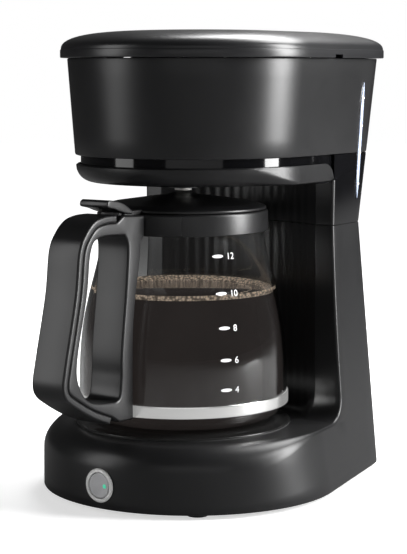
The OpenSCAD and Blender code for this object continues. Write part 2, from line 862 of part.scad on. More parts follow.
module lid_screws() {
    color("silver") at_places(post_places) {
        upright(liner_z - 1.2, liner_z, screw_d);
        upright(liner_z - 0.1, liner_z + 9, screw_d / 2);
    }
}

module lid_hinge_pins() {
    color("silver") for (side = [-1, 1])
        along_x(side * lug_x - lug_w + 0.5, side * lug_x + lug_w - 0.5, hinge_y, hinge_z, lid_pin_r);
}

module shower_head() {
    floor_z = brew_deck_z - 2;
    duct_z = riser_top + gasket_h + gap;
    reach = norm([stub_x, climb_y]);
    turn = atan2(climb_y, -stub_x);
    color("#d5d5cf") difference() {
        union() {
            upright(floor_z, liner_z, shower_r);
            rotate([0, 0, turn]) translate([shower_r - 4, -8, duct_z])
                cube([reach + 8 - shower_r + 4, 16, liner_z - duct_z]);
        }
        upright(floor_z + 1.5, liner_z - 1, shower_r - 1.5);
        for (q = [10, 20, 30], i = [0:q / 2.5 - 1]) rotate([0, 0, i * 900 / q])
            translate([q, 0, 0]) upright(floor_z - 1, floor_z + 2, 1);
    }
}

// ---- Carafe ----

glass_wide_z = carafe_z + 18;
mouth_r = glass_neck_r + 0.6;

// Outside radius of the glass at height z: a round foot below its widest ring, a long taper above
function glass_out(z) =
    z < glass_wide_z
    ? glass_foot_r + (glass_r - glass_foot_r) * sqrt(1 - pow((glass_wide_z - z) / (glass_wide_z - carafe_z), 2))
    : glass_neck_r + (glass_r - glass_neck_r)
        * (cos(180 * pow((z - glass_wide_z) / (collar_z + 4 - glass_wide_z), 1.5)) + 1) / 2;
collar_z = glass_top - collar_h;
glass_steps = 14;
function glass_levels(z0) = concat(
    [for (i = [0:5]) mix(z0, glass_wide_z, 1 - cos(90 * i / 5))],
    [for (i = [1:glass_steps]) mix(glass_wide_z, collar_z + 4, i / glass_steps)]);

module carafe_glass() {
    inside = carafe_z + glass_wall + 0.6;
    color("#c9d6d8", 0.4) rotate_extrude() polygon(concat(
        [[0, carafe_z]],
        [for (z = glass_levels(carafe_z)) [glass_out(z), z]],
        [[glass_neck_r, glass_top - 1], [glass_neck_r - 1, glass_top],
         [glass_neck_r - glass_wall, glass_top]],
        [for (z = reversed(glass_levels(inside))) [glass_out(z) - glass_wall, z]],
        [[0, inside]]));
}

module carafe_collar() {
    inner = glass_neck_r + 0.05;
    color("#141414") rotate_extrude() polygon([
        [inner + 0.1, collar_z + 4], [inner + collar_wall - 1, collar_z], [inner + collar_wall, collar_z + 1],
        [inner + collar_wall, glass_top - 1], [inner + collar_wall - 1, glass_top],
        [inner, glass_top]]);
}

strap_z = glass_wide_z - 2 - strap_h / 2;

module carafe_strap() {
    inner = glass_r + 0.1;
    color("#d9dadb") rotate_extrude() polygon([
        [inner, strap_z], [inner + strap_t, strap_z],
        [inner + strap_t, strap_z + strap_h], [inner, strap_z + strap_h]]);
}

// ---- Handle, drawn as distance in front of the carafe's axis against height ----

// A smooth open curve through the given points
function curve_at(a, b, c, d, t) =
    (2 * b + (c - a) * t + (2 * a - 5 * b + 4 * c - d) * t * t
     + (3 * b - a - 3 * c + d) * t * t * t) / 2;
function curve(points, steps) = let (n = len(points))
    [for (k = [0:n - 2], j = [0:steps - 1])
        curve_at(points[max(0, k - 1)], points[k], points[k + 1], points[min(n - 1, k + 2)], j / steps),
     points[n - 1]];
// The curve moved towards its right-hand side, as seen along its direction
function beside(points, g) = let (n = len(points)) [for (i = [0:n - 1])
    let (d = points[min(n - 1, i + 1)] - points[max(0, i - 1)], u = d / norm(d))
    points[i] + g * [u[1], -u[0]]];

handle_top = glass_top + 2;
handle_low = strap_z - 2;
handle_h = handle_top - handle_low;
grip_back = [[92, 1], [104, 0.998], [115, 0.98], [124, 0.93], [131, 0.845], [135, 0.64],
    [handle_reach - 3, 0.345], [handle_reach, 0.235], [handle_reach - 3, 0.175],
    [handle_reach - 13, 0.125], [118, 0.06], [100, 0.01]];
grip_curve = curve([for (p = grip_back) [p[0], handle_low + handle_h * p[1]]], 4);
hole_points = [[84, 0.9], [110, 0.9], [119, 0.84], [123, 0.64], [handle_reach - 15, 0.345],
    [handle_reach - 17, 0.22], [handle_reach - 28, 0.14], [100, 0.115], [90, 0.125], [87.5, 0.22],
    [87, 0.345], [82, 0.64], [80, 0.84]];
function in_handle(p) = [p[0], handle_low + handle_h * p[1]];
hole_loop = curve([for (p = concat(hole_points, [hole_points[0]])) in_handle(p)], 3);
lug_slot_w = 16;
pivot_z = glass_top - 2;

module side_plate(points, w) {
    translate([-w / 2, 0, 0]) rotate([90, 0, 90]) linear_extrude(w)
        polygon([for (p = points) [-p[0], p[1]]]);
}

module handle_core() {
    inner_r = glass_r + strap_t + 0.1 + gap;
    fold = beside(grip_curve, cover_t + fit);
    post_line = [[inner_r, handle_low + 1], [inner_r, in_handle([0, 0.35])[1]],
        [inner_r - 2, in_handle([0, 0.55])[1]], [inner_r - 7, in_handle([0, 0.75])[1]],
        [glass_neck_r + collar_wall + 6, collar_z - 3], [glass_neck_r + collar_wall + 2, collar_z + 1],
        [glass_neck_r + collar_wall + 2, glass_top]];
    color("#161618") difference() {
        union() {
            difference() {
                side_plate(concat(fold, [[90, handle_low + 1.5]], post_line, [[85, handle_top - 1]]), handle_w);
                side_plate(hole_loop, handle_w + 2);
            }
            rotate([0, 0, -125]) rotate_extrude(angle = 70)
                translate([glass_neck_r + collar_wall + 0.2, collar_z + 1])
                square([3, collar_h - 1.5]);
        }
        translate([-lug_slot_w / 2, -93, glass_top - 9]) cube([lug_slot_w, 33, 20]);
        along_x(-handle_w, handle_w, -carafe_hinge_y, pivot_z, carafe_pin_d / 2 + fit);
        along_y(0, -112, -inner_r + 1, strap_z + strap_h / 2, screw_d / 2 + fit);
    }
}

module handle_cover() {
    color("#1a1a1c") side_plate(concat(grip_curve, reversed(beside(grip_curve, cover_t))), handle_w);
}

module handle_screw() {
    inner_r = glass_r + strap_t + 0.1;
    color("silver") along_y(0, -inner_r - 16, -inner_r, strap_z + strap_h / 2, screw_d / 2);
}

module carafe_hinge_pin() {
    color("silver") along_x(-handle_w / 2 + 0.5, handle_w / 2 - 0.5, -carafe_hinge_y, pivot_z,
                            carafe_pin_d / 2);
}

module carafe_lid() {
    low = glass_top + gap;
    high = carafe_lid_z;
    plug_out = glass_neck_r - glass_wall - 1.3;
    rim_r = glass_neck_r + 1.5;
    arm = lug_slot_w - 2 * gap;
    tab_w = 24;
    color("#18181a") difference() {
        union() {
            rotate_extrude() polygon([
                [0, low], [plug_out - 3, low], [plug_out - 3, low - 5], [plug_out, low - 5],
                [plug_out, low], [rim_r, low], [rim_r, low + 2], [rim_r - 8, low + 4.6],
                [24, high - 3.2], [pad_r + 7, high - 2.2], [pad_r, high], [0, high]]);
            translate([-arm / 2, -carafe_hinge_y, low]) cube([arm, carafe_hinge_y - 40, 2.6]);
            along_x(-arm / 2, arm / 2, -carafe_hinge_y, pivot_z, 3.4);
            translate([-arm / 2, -carafe_hinge_y - 3, pivot_z]) cube([arm, 6, low + 2 - pivot_z]);
            side_plate([[74, low + 1], [84, low + 2], [100, low + 7], [100, high - 0.4],
                        [96, high], [84, high - 2.5], [74, low + 3.6]], tab_w);
        }
        along_x(-arm, arm, -carafe_hinge_y, pivot_z, carafe_pin_d / 2 + fit);
    }
}

// ---- Each node, drawn by its name ----

lower_body();
base_plate();
feet();
base_screws();
warming_plate();
plate_seal();
heating_element();
element_bracket();
bracket_stud();
thermostat();
thermal_fuses();
switch_body();
button_bezel();
terminal_block();
cord_gland();
inlet_hoses();
check_valve();
riser_hose();
riser_tube();
outlet_gasket();
hose_clamps();
arch_frame();
rear_panel();
trim_band();
upper_housing();
brew_chamber();
reservoir();
sight_window();
power_button();
indicator_lens();
button_spring();
lid_cover();
lid_liner();
lid_screws();
lid_hinge_pins();
shower_head();
brew_basket();
valve_stem();
valve_seal();
valve_spring();
carafe_glass();
carafe_collar();
carafe_strap();
handle_core();
handle_cover();
handle_screw();
carafe_hinge_pin();
carafe_lid();
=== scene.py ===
"""Drip coffee maker: the finished shells, carafe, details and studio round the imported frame."""
import json
import math

import bmesh
import bpy
from bpy.props import FloatProperty, FloatVectorProperty, PointerProperty
from mathutils import Matrix, Vector


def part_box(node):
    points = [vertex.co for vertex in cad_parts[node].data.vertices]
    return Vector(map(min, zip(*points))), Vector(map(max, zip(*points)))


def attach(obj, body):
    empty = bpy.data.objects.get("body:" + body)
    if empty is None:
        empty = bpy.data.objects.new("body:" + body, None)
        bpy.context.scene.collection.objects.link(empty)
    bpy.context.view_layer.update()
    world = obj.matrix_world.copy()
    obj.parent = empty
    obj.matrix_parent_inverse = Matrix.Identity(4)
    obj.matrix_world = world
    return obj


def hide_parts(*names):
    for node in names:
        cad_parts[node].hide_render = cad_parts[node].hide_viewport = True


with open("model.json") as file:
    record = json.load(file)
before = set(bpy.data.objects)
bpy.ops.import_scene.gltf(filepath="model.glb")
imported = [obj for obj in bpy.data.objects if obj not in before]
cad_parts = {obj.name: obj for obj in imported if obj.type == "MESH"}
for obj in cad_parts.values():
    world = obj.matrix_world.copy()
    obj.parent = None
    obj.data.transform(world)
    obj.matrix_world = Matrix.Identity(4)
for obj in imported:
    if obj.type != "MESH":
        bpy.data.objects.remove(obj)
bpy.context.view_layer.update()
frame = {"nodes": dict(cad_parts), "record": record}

bl_info = {
    "name": "Drip Coffee Maker",
    "version": (1, 0, 0),
    "blender": (4, 5, 0),
    "location": "3D View > Sidebar > Coffee Maker",
    "description": "Builds the finished pieces of a drip coffee maker round its packed frame",
    "category": "Add Mesh",
}

MM = 0.001
FULL_TURN = 2 * math.pi
WELD = 1e-6
ROUND_SEGMENTS = 128
DECK_BELOW_FLANGE = 0.8 * MM
LID_GAP = 0.3 * MM
CHIN_ABOVE_CARAFE = 7 * MM

# ---- Places taken from the frame, in metres ----

body_low, body_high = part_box("lower_body")
plate_low, plate_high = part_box("warming_plate")
band_low, band_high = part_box("trim_band")
house_low, house_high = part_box("upper_housing")
lid_low, lid_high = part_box("lid_cover")
glass_low, glass_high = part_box("carafe_glass")
strap_low, strap_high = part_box("carafe_strap")
collar_low, collar_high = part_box("carafe_collar")
cover_low, cover_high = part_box("handle_cover")
top_low, top_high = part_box("carafe_lid")
bezel_low, bezel_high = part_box("button_bezel")
button_low, button_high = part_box("power_button")
lens_low, lens_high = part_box("indicator_lens")
window_low, window_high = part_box("sight_window")
gland_low, gland_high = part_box("cord_gland")
pin_low, pin_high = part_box("lid_hinge_pins")

foot_z = body_low.z
flange_z = plate_low.z
deck_z = flange_z - DECK_BELOW_FLANGE
waist_z = body_high.z
band_z = band_low.z
housing_z = band_high.z
rim_z = house_high.z
lid_z = rim_z + LID_GAP
chin_z = top_high.z + CHIN_ABOVE_CARAFE
base_r = body_high.x
base_cy = body_low.y + base_r
base_rear = body_high.y
head_r = house_high.x
head_cy = house_low.y + head_r
column_y = 66 * MM
bay_depth = 16 * MM
bay_half = 69 * MM
corner_r = 20 * MM

# An outline is (front radius, front centre, rear half width, rear distance)
BASE_LINE = (base_r, base_cy, 82 * MM, base_rear)
WAIST_LINE = (88 * MM, base_cy, 80 * MM, 122 * MM)
HEAD_LOW_LINE = (85 * MM, head_cy, 83.4 * MM, 127 * MM)
HEAD_TOP_LINE = (head_r, head_cy, 88 * MM, 134 * MM)


# ---- Sizes and colours that a user may change ----

class ShellSizes(bpy.types.PropertyGroup):
    """Sizes of the mouldings."""
    shoulder: FloatProperty(name="Shoulder", description="Radius of the rounded front of the deck",
                            default=0.018, min=0.008, max=0.022, unit="LENGTH")
    edge: FloatProperty(name="Edge", description="Radius of the column's upright edges",
                        default=0.0018, min=0.0005, max=0.004, unit="LENGTH")
    sweep: FloatProperty(name="Sweep", description="Radius where the column runs out into the deck",
                         default=0.017, min=0.004, max=0.03, unit="LENGTH")
    arch: FloatProperty(name="Arch", description="Radius of the arch frame's outer corner",
                        default=0.011, min=0.002, max=0.02, unit="LENGTH")
    wall: FloatProperty(name="Wall", description="Thickness of the mouldings",
                        default=0.0018, min=0.001, max=0.003, unit="LENGTH")


class CarafeSizes(bpy.types.PropertyGroup):
    """Sizes of the carafe's contents and print."""
    coffee_level: FloatProperty(name="Coffee level",
                                description="Height of the coffee above the standing surface",
                                default=0.1415, min=0.07, max=0.17, unit="LENGTH")
    foam_height: FloatProperty(name="Foam",
                               description="Height of the foam round the edge of the coffee",
                               default=0.0032, min=0.0005, max=0.006, unit="LENGTH")
    number_height: FloatProperty(name="Numbers", description="Height of the printed numbers",
                                 default=0.0046, min=0.003, max=0.008, unit="LENGTH")
    mark_turn: FloatProperty(name="Mark turn", description="Angle of the scale from the handle",
                             default=math.radians(59.5), subtype="ANGLE", unit="ROTATION")


class Colours(bpy.types.PropertyGroup):
    """Colours of the finishes."""
    shell: FloatVectorProperty(name="Shell", description="Satin black of the main mouldings",
                               default=(0.008, 0.008, 0.0085), subtype="COLOR", min=0, max=1)
    gloss: FloatVectorProperty(name="Gloss", description="Gloss black of the band and rear panel",
                               default=(0.003, 0.003, 0.0035), subtype="COLOR", min=0, max=1)
    lid: FloatVectorProperty(name="Lid", description="Black of the lid",
                             default=(0.010, 0.010, 0.011), subtype="COLOR", min=0, max=1)
    handle: FloatVectorProperty(name="Handle",
                                description="Black of the handle and carafe fittings",
                                default=(0.008, 0.008, 0.0085), subtype="COLOR", min=0, max=1)
    coffee: FloatVectorProperty(name="Coffee", description="Colour of the coffee",
                                default=(0.020, 0.0165, 0.0155), subtype="COLOR", min=0, max=1)
    foam: FloatVectorProperty(name="Foam", description="Colour of the foam",
                              default=(0.66, 0.53, 0.41), subtype="COLOR", min=0, max=1)
    lamp: FloatVectorProperty(name="Lamp", description="Colour of the lamp in the button",
                              default=(0.10, 0.72, 0.45), subtype="COLOR", min=0, max=1)
    floor: FloatVectorProperty(name="Floor", description="Colour of the studio floor",
                               default=(0.80, 0.80, 0.80), subtype="COLOR", min=0, max=1)


class StudioSizes(bpy.types.PropertyGroup):
    """Placing of the camera and the strength of the light."""
    heading: FloatProperty(name="Heading",
                           description="Angle of the camera round the machine from its front",
                           default=math.radians(35.5), subtype="ANGLE", unit="ROTATION")
    pitch: FloatProperty(name="Pitch", description="How far the camera looks down",
                         default=math.radians(3.3), subtype="ANGLE", unit="ROTATION")
    distance: FloatProperty(name="Distance", description="Distance of the camera along its heading",
                            default=1.255, unit="LENGTH")
    height: FloatProperty(name="Height", description="Height of the camera",
                          default=0.2956, unit="LENGTH")
    beside: FloatProperty(name="Beside",
                          description="How far the camera stands to the right of the base's centre",
                          default=0.008, unit="LENGTH")
    lens: FloatProperty(name="Lens", description="Focal length of the camera in millimetres",
                        default=114.8, min=20, max=300)
    shift: FloatProperty(name="Shift",
                         description="How far the frame is moved down without tilting the camera, "
                                     "as a share of its longer side",
                         default=0.187, min=0, max=0.5, subtype="FACTOR")
    light: FloatProperty(name="Light", description="Strength of the studio light",
                         default=1.0, min=0.1, max=5)


def settings(context):
    """The four groups of settings on the scene."""
    scene = context.scene
    return scene.maker_shell, scene.maker_carafe, scene.maker_colours, scene.maker_studio


# ---- Shaping helpers ----

def mix(a, b, t):
    return a + (b - a) * t


def clamp(t):
    return min(1, max(0, t))


def ease(t):
    t = clamp(t)
    return t * t * (3 - 2 * t)


def steps(a, b, count):
    """Count + 1 even values from a to b."""
    return [mix(a, b, i / count) for i in range(count + 1)]


def side_angle(line):
    """Angle of the outward normal of the straight side, in radians from +X."""
    r, cy, half, rear = line
    dx, dy = half - corner_r, rear - corner_r - cy
    return math.atan2(dy, dx) - math.acos((r - corner_r) / math.hypot(dx, dy))


def side_x(line, y, out=0):
    """Half width of the outline on its straight side at distance y."""
    a = side_angle(line)
    return (line[0] + out - (y - line[1]) * math.sin(a)) / math.cos(a)


def blend_lines(a, b, t):
    return tuple(mix(p, q, t) for p, q in zip(a, b))


def line_at(z):
    """The machine's outline at height z."""
    if z < waist_z:
        t = clamp((z - foot_z) / (waist_z - foot_z))
        flared = blend_lines(BASE_LINE, WAIST_LINE, t)
        return (mix(WAIST_LINE[0], BASE_LINE[0], (1 - t) ** 1.4),) + flared[1:]
    if z < housing_z:
        return blend_lines(WAIST_LINE, HEAD_LOW_LINE, (z - waist_z) / (housing_z - waist_z))
    return blend_lines(HEAD_LOW_LINE, HEAD_TOP_LINE, (z - housing_z) / (rim_z - housing_z))


def half_rear(line, y0, out=0, side_steps=6, turn_steps=10, back_steps=6):
    """Points from the straight side at y0 round the rear corner to the middle of the back."""
    a0 = side_angle(line)
    x, y = line[2] - corner_r, line[3] - corner_r
    y1 = y + (corner_r + out) * math.sin(a0)
    side = [(side_x(line, q, out), q) for q in steps(y0, y1, side_steps)[:-1]]
    turn = [(x + (corner_r + out) * math.cos(a), y + (corner_r + out) * math.sin(a))
            for a in steps(a0, math.pi / 2, turn_steps)]
    back = [(q, y + corner_r + out) for q in steps(x, 0, back_steps)[1:]]
    return side + turn + back


def half_front(line, y1, out=0, front_steps=40, side_steps=6):
    """Points from the middle of the front round to the straight side at y1."""
    a0 = side_angle(line)
    front = [((line[0] + out) * math.cos(a), line[1] + (line[0] + out) * math.sin(a))
             for a in steps(-math.pi / 2, a0, front_steps)]
    y0 = front[-1][1]
    return front + [(side_x(line, q, out), q) for q in steps(y0, y1, side_steps)[1:]]


def whole(half):
    """A half outline from the front's middle to the back's middle, made into a closed loop."""
    return half + [(-p[0],) + tuple(p[1:]) for p in reversed(half[1:-1])]


def raised(points, z):
    return [Vector((p[0], p[1], z)) for p in points]


def chain(bm, points):
    """New corners at the points, joined by edges into an open chain."""
    verts = [bm.verts.new(p) for p in points]
    for a, b in zip(verts, verts[1:]):
        bm.edges.new((a, b))
    return verts


def loop(bm, points):
    """New corners at the points, joined by edges into a closed loop."""
    verts = chain(bm, points)
    bm.edges.new((verts[-1], verts[0]))
    return verts


def edges_of(bm, verts, closed=True):
    pairs = list(zip(verts, verts[1:]))
    if closed:
        pairs.append((verts[-1], verts[0]))
    return [bm.edges.get(pair) or bm.edges.new(pair) for pair in pairs]


def grow(bm, verts, points, closed=True):
    """Extrudes a loop or chain of corners and moves the new ones to the points."""
    made = bmesh.ops.extrude_edge_only(bm, edges=edges_of(bm, verts, closed))["geom"]
    fresh = {g for g in made if isinstance(g, bmesh.types.BMVert)}
    moved = []
    for vert, point in zip(verts, points):
        twin = next(e.other_vert(vert) for e in vert.link_edges if e.other_vert(vert) in fresh)
        twin.co = point
        moved.append(twin)
    return moved


def loft(bm, rings, closed=True):
    """A skin grown through rings of equal length; gives the first and last rings of corners."""
    first = loop(bm, rings[0]) if closed else chain(bm, rings[0])
    last = first
    for ring in rings[1:]:
        last = grow(bm, last, ring, closed)
    return first, last


def weld(bm):
    """Joins doubled corners and turns every face outwards."""
    bmesh.ops.remove_doubles(bm, verts=bm.verts, dist=WELD)
    bmesh.ops.recalc_face_normals(bm, faces=bm.faces)


def turned(profile, segments=96, centre=(0, 0, 0), axis=(0, 0, 1)):
    """A solid of revolution about an upright axis, from (radius, height) points."""
    bm = bmesh.new()
    verts = chain(bm, [Vector((r, 0, z)) for r, z in profile])
    geom = verts + edges_of(bm, verts, closed=False)
    bmesh.ops.spin(bm, geom=geom, cent=centre, axis=axis, dvec=(0, 0, 0), angle=FULL_TURN,
                   steps=segments, use_merge=True, use_duplicate=False)
    weld(bm)
    return bm


def rounded(profile, radius, segments=4, closed=False):
    """The profile with each inner corner replaced by an arc that stays within its sides."""
    out = []
    count = len(profile)
    for i, p in enumerate(profile):
        p = Vector(p)
        if not closed and i in (0, count - 1):
            out.append(tuple(p))
            continue
        before, after = Vector(profile[i - 1]) - p, Vector(profile[(i + 1) % count]) - p
        reach = min(radius, before.length * 0.45, after.length * 0.45)
        a, b = p + before.normalized() * reach, p + after.normalized() * reach
        for t in steps(0, 1, segments):
            out.append(tuple(a * (1 - t) ** 2 + p * 2 * t * (1 - t) + b * t ** 2))
    return out


def finish_mesh(bm, name, material, body, replaced=(), sharp=None):
    """Turns a bmesh into a smooth piece that rides on a body and stands for CAD nodes."""
    mesh = bpy.data.meshes.new(name)
    bm.to_mesh(mesh)
    bm.free()
    piece = bpy.data.objects.new(name, mesh)
    bpy.context.scene.collection.objects.link(piece)
    mesh.materials.append(material)
    mesh.shade_smooth()
    if sharp:
        mesh.set_sharp_from_angle(angle=math.radians(sharp))
    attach(piece, body)
    if replaced:
        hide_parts(*replaced)
    return piece


def settle(piece, sharp=35):
    """Applies a piece's modifiers and shades the result."""
    graph = bpy.context.evaluated_depsgraph_get()
    mesh = bpy.data.meshes.new_from_object(piece.evaluated_get(graph))
    piece.modifiers.clear()
    piece.data = mesh
    mesh.shade_smooth()
    mesh.set_sharp_from_angle(angle=math.radians(sharp))


def add_wall(piece, thickness):
    """Gives an open skin its wall, on its inner side."""
    wall = piece.modifiers.new("wall", "SOLIDIFY")
    wall.thickness = thickness
    wall.offset = -1
    wall.use_even_offset = True


def bar(bm, start, axis, length, radius, segments=48):
    """A closed round bar from start along an axis."""
    place = Vector(axis).to_track_quat("Z", "Y").to_matrix().to_4x4()
    place.translation = Vector(start) + Vector(axis).normalized() * length / 2
    return bmesh.ops.create_cone(bm, cap_ends=True, segments=segments, radius1=radius,
                                 radius2=radius,
                                 depth=length, matrix=place)["verts"]


def box(bm, low, high):
    """A closed box between two corners."""
    size = Vector(high) - Vector(low)
    place = Matrix.Translation((Vector(low) + Vector(high)) / 2) @ Matrix.Diagonal((*size, 1))
    return bmesh.ops.create_cube(bm, size=1, matrix=place)["verts"]


def cut(piece, bm):
    """Cuts the shapes in a bmesh out of a piece."""
    mesh = bpy.data.meshes.new("cutter")
    bmesh.ops.recalc_face_normals(bm, faces=bm.faces)
    bm.to_mesh(mesh)
    bm.free()
    tool = bpy.data.objects.new("cutter", mesh)
    bpy.context.scene.collection.objects.link(tool)
    modifier = piece.modifiers.new("cut", "BOOLEAN")
    modifier.operation = "DIFFERENCE"
    modifier.solver = "EXACT"
    modifier.object = tool
    settle(piece)
    bpy.data.objects.remove(tool)
    bpy.data.meshes.remove(mesh)


# ---- Node groups that more than one finish uses ----

def new_group(name, inputs, outputs):
    """An empty node group with named sockets."""
    group = bpy.data.node_groups.new(name, "ShaderNodeTree")
    for label, kind, value in inputs:
        socket = group.interface.new_socket(name=label, in_out="INPUT", socket_type=kind)
        if value is not None:
            socket.default_value = value
    for label, kind in outputs:
        group.interface.new_socket(name=label, in_out="OUTPUT", socket_type=kind)
    return group, group.nodes.new("NodeGroupInput"), group.nodes.new("NodeGroupOutput")


def maths(tree, operation, a, b):
    node = tree.nodes.new("ShaderNodeMath")
    node.operation = operation
    for socket, value in zip(node.inputs, (a, b)):
        if isinstance(value, (int, float)):
            socket.default_value = value
        else:
            tree.links.new(value, socket)
    return node.outputs[0]


def noise(tree, vector, scale, detail=2.0):
    node = tree.nodes.new("ShaderNodeTexNoise")
    node.inputs["Scale"].default_value = scale
    node.inputs["Detail"].default_value = detail
    tree.links.new(vector, node.inputs["Vector"])
    return node


def moulded_group():
    """Fine moulded grain, soft handling marks and slightly paler patches."""
    group = bpy.data.node_groups.get("moulded_surface")
    if group:
        return group
    group, given, made = new_group("moulded_surface", [
        ("Position", "NodeSocketVector", None),
        ("Colour", "NodeSocketColor", (0.02, 0.02, 0.02, 1)),
        ("Roughness", "NodeSocketFloat", 0.4), ("Spread", "NodeSocketFloat", 0.08),
        ("Grain", "NodeSocketFloat", 1800.0), ("Patches", "NodeSocketFloat", 0.2)],
        [("Colour", "NodeSocketColor"), ("Roughness", "NodeSocketFloat"),
         ("Height", "NodeSocketFloat")])
    grain = noise(group, given.outputs["Position"], 1800, 2)
    group.links.new(given.outputs["Grain"], grain.inputs["Scale"])
    broad = noise(group, given.outputs["Position"], 26, 3)
    shift = maths(group, "MULTIPLY", maths(group, "SUBTRACT", broad.outputs["Fac"], 0.5),
                  given.outputs["Spread"])
    group.links.new(maths(group, "ADD", given.outputs["Roughness"], shift),
                    made.inputs["Roughness"])
    tint = group.nodes.new("ShaderNodeMix")
    tint.data_type = "RGBA"
    tint.blend_type = "ADD"
    group.links.new(maths(group, "MULTIPLY", broad.outputs["Fac"], given.outputs["Patches"]),
                    tint.inputs[0])
    group.links.new(given.outputs["Colour"], tint.inputs[6])
    group.links.new(given.outputs["Colour"], tint.inputs[7])
    group.links.new(tint.outputs[2], made.inputs["Colour"])
    group.links.new(grain.outputs["Fac"], made.inputs["Height"])
    return group


def wear_group():
    """A mask that is bright along sharp, outward edges, for wear and for a painted edge highlight.
    """
    group = bpy.data.node_groups.get("edge_wear_highlight")
    if group:
        return group
    group, given, made = new_group("edge_wear_highlight", [("Amount", "NodeSocketFloat", 0.5)],
                                   [("Mask", "NodeSocketFloat")])
    shape = group.nodes.new("ShaderNodeNewGeometry")
    ramp = group.nodes.new("ShaderNodeMapRange")
    ramp.inputs["From Min"].default_value = 0.51
    ramp.inputs["From Max"].default_value = 0.62
    group.links.new(shape.outputs["Pointiness"], ramp.inputs["Value"])
    group.links.new(maths(group, "MULTIPLY", ramp.outputs["Result"], given.outputs["Amount"]),
                    made.inputs["Mask"])
    return group


def dust_group():
    """A thin mask of settled dust on faces that look up."""
    group = bpy.data.node_groups.get("settled_dust")
    if group:
        return group
    group, given, made = new_group("settled_dust", [
        ("Position", "NodeSocketVector", None), ("Amount", "NodeSocketFloat", 0.05)],
        [("Mask", "NodeSocketFloat")])
    shape = group.nodes.new("ShaderNodeNewGeometry")
    split = group.nodes.new("ShaderNodeSeparateXYZ")
    group.links.new(shape.outputs["Normal"], split.inputs["Vector"])
    upward = group.nodes.new("ShaderNodeMapRange")
    upward.inputs["From Min"].default_value = 0.4
    group.links.new(split.outputs["Z"], upward.inputs["Value"])
    specks = noise(group, given.outputs["Position"], 420, 4)
    amount = maths(group, "MULTIPLY", upward.outputs["Result"], specks.outputs["Fac"])
    group.links.new(maths(group, "MULTIPLY", amount, given.outputs["Amount"]), made.inputs["Mask"])
    return group


def place_group(tree, group, **values):
    node = tree.nodes.new("ShaderNodeGroup")
    node.node_tree = group
    for name, value in values.items():
        node.inputs[name].default_value = value
    return node


# ---- Finishes ----

# The floor's glow is weaker near the machine, which paints the floor darker round it, and FLOOR_DIM
# paints the floor darker in reflections
FLOOR_LIFT = (0.16, 0.60, 0.58, 1.05)
FLOOR_GLOW = 0.03
FLOOR_DIM = 0.78
# Painted light: the foam glows with its own colour
FOAM_PAINTED_LIGHT = 0.30
# Painted light: the coffee glows with its own colour
COFFEE_PAINTED_LIGHT = 0.65
# Painted sheen: the steel band glows with its own colour
STEEL_BAND_PAINTED_SHEEN = 0.30

def finish(name):
    """A new material with its shader and Object coordinates; gives all three."""
    material = bpy.data.materials.new(name)
    material.use_nodes = True
    tree = material.node_tree
    shader = tree.nodes["Principled BSDF"]
    place = tree.nodes.new("ShaderNodeTexCoord")
    return material, tree, shader, place.outputs["Object"]


def bumped(tree, shader, height, strength, distance):
    bump = tree.nodes.new("ShaderNodeBump")
    bump.inputs["Strength"].default_value = strength
    bump.inputs["Distance"].default_value = distance
    tree.links.new(height, bump.inputs["Height"])
    tree.links.new(bump.outputs["Normal"], shader.inputs["Normal"])


def tinted(tree, mask, base, over):
    """The base colour with another laid over it where the mask is bright."""
    node = tree.nodes.new("ShaderNodeMix")
    node.data_type = "RGBA"
    tree.links.new(mask, node.inputs[0])
    tree.links.new(base, node.inputs[6])
    node.inputs[7].default_value = (*over, 1)
    return node.outputs[2]


def plastic(name, colour, roughness, grain=1800.0, depth=0.15, spread=0.08, patches=0.25,
            wear_and_highlight=0.0, dust=0.0, specular=0.5, coat=0.0):
    """Moulded plastic with grain, handling marks, edges painted paler for wear and as a painted
    highlight, and a little dust.
    """
    material, tree, shader, place = finish(name)
    surface = place_group(tree, moulded_group(), Colour=(*colour, 1), Roughness=roughness,
                          Spread=spread, Grain=grain, Patches=patches)
    tree.links.new(place, surface.inputs["Position"])
    shade = surface.outputs["Colour"]
    if wear_and_highlight:
        edge = place_group(tree, wear_group(), Amount=wear_and_highlight)
        # Paler edges: wear, and a painted highlight along them
        shade = tinted(tree, edge.outputs["Mask"], shade, [min(1, c * 2.2 + 0.01) for c in colour])
    if dust:
        film = place_group(tree, dust_group(), Amount=dust)
        tree.links.new(place, film.inputs["Position"])
        shade = tinted(tree, film.outputs["Mask"], shade, (0.35, 0.35, 0.34))
    tree.links.new(shade, shader.inputs["Base Color"])
    tree.links.new(surface.outputs["Roughness"], shader.inputs["Roughness"])
    shader.inputs["Specular IOR Level"].default_value = specular
    shader.inputs["Coat Weight"].default_value = coat
    shader.inputs["Coat Roughness"].default_value = 0.08
    bumped(tree, shader, surface.outputs["Height"], depth, 0.0001)
    return material


def metal(name, colour, roughness, stretch=(1, 1, 1), depth=0.1, grain=900.0, painted_sheen=0.0):
    """Metal with fine lines along the way that the stretch leaves long; painted_sheen makes it glow
    with its own colour, a painted sheen.
    """
    material, tree, shader, place = finish(name)
    turn = tree.nodes.new("ShaderNodeMapping")
    turn.inputs["Scale"].default_value = stretch
    tree.links.new(place, turn.inputs["Vector"])
    surface = place_group(tree, moulded_group(), Colour=(*colour, 1), Roughness=roughness,
                          Spread=0.12, Grain=grain, Patches=0.05)
    tree.links.new(turn.outputs["Vector"], surface.inputs["Position"])
    tree.links.new(surface.outputs["Colour"], shader.inputs["Base Color"])
    tree.links.new(surface.outputs["Roughness"], shader.inputs["Roughness"])
    shader.inputs["Metallic"].default_value = 1.0
    # Painted sheen: the metal glows with its own colour
    tree.links.new(surface.outputs["Colour"], shader.inputs["Emission Color"])
    shader.inputs["Emission Strength"].default_value = painted_sheen
    bumped(tree, shader, surface.outputs["Height"], depth, 0.00005)
    return material


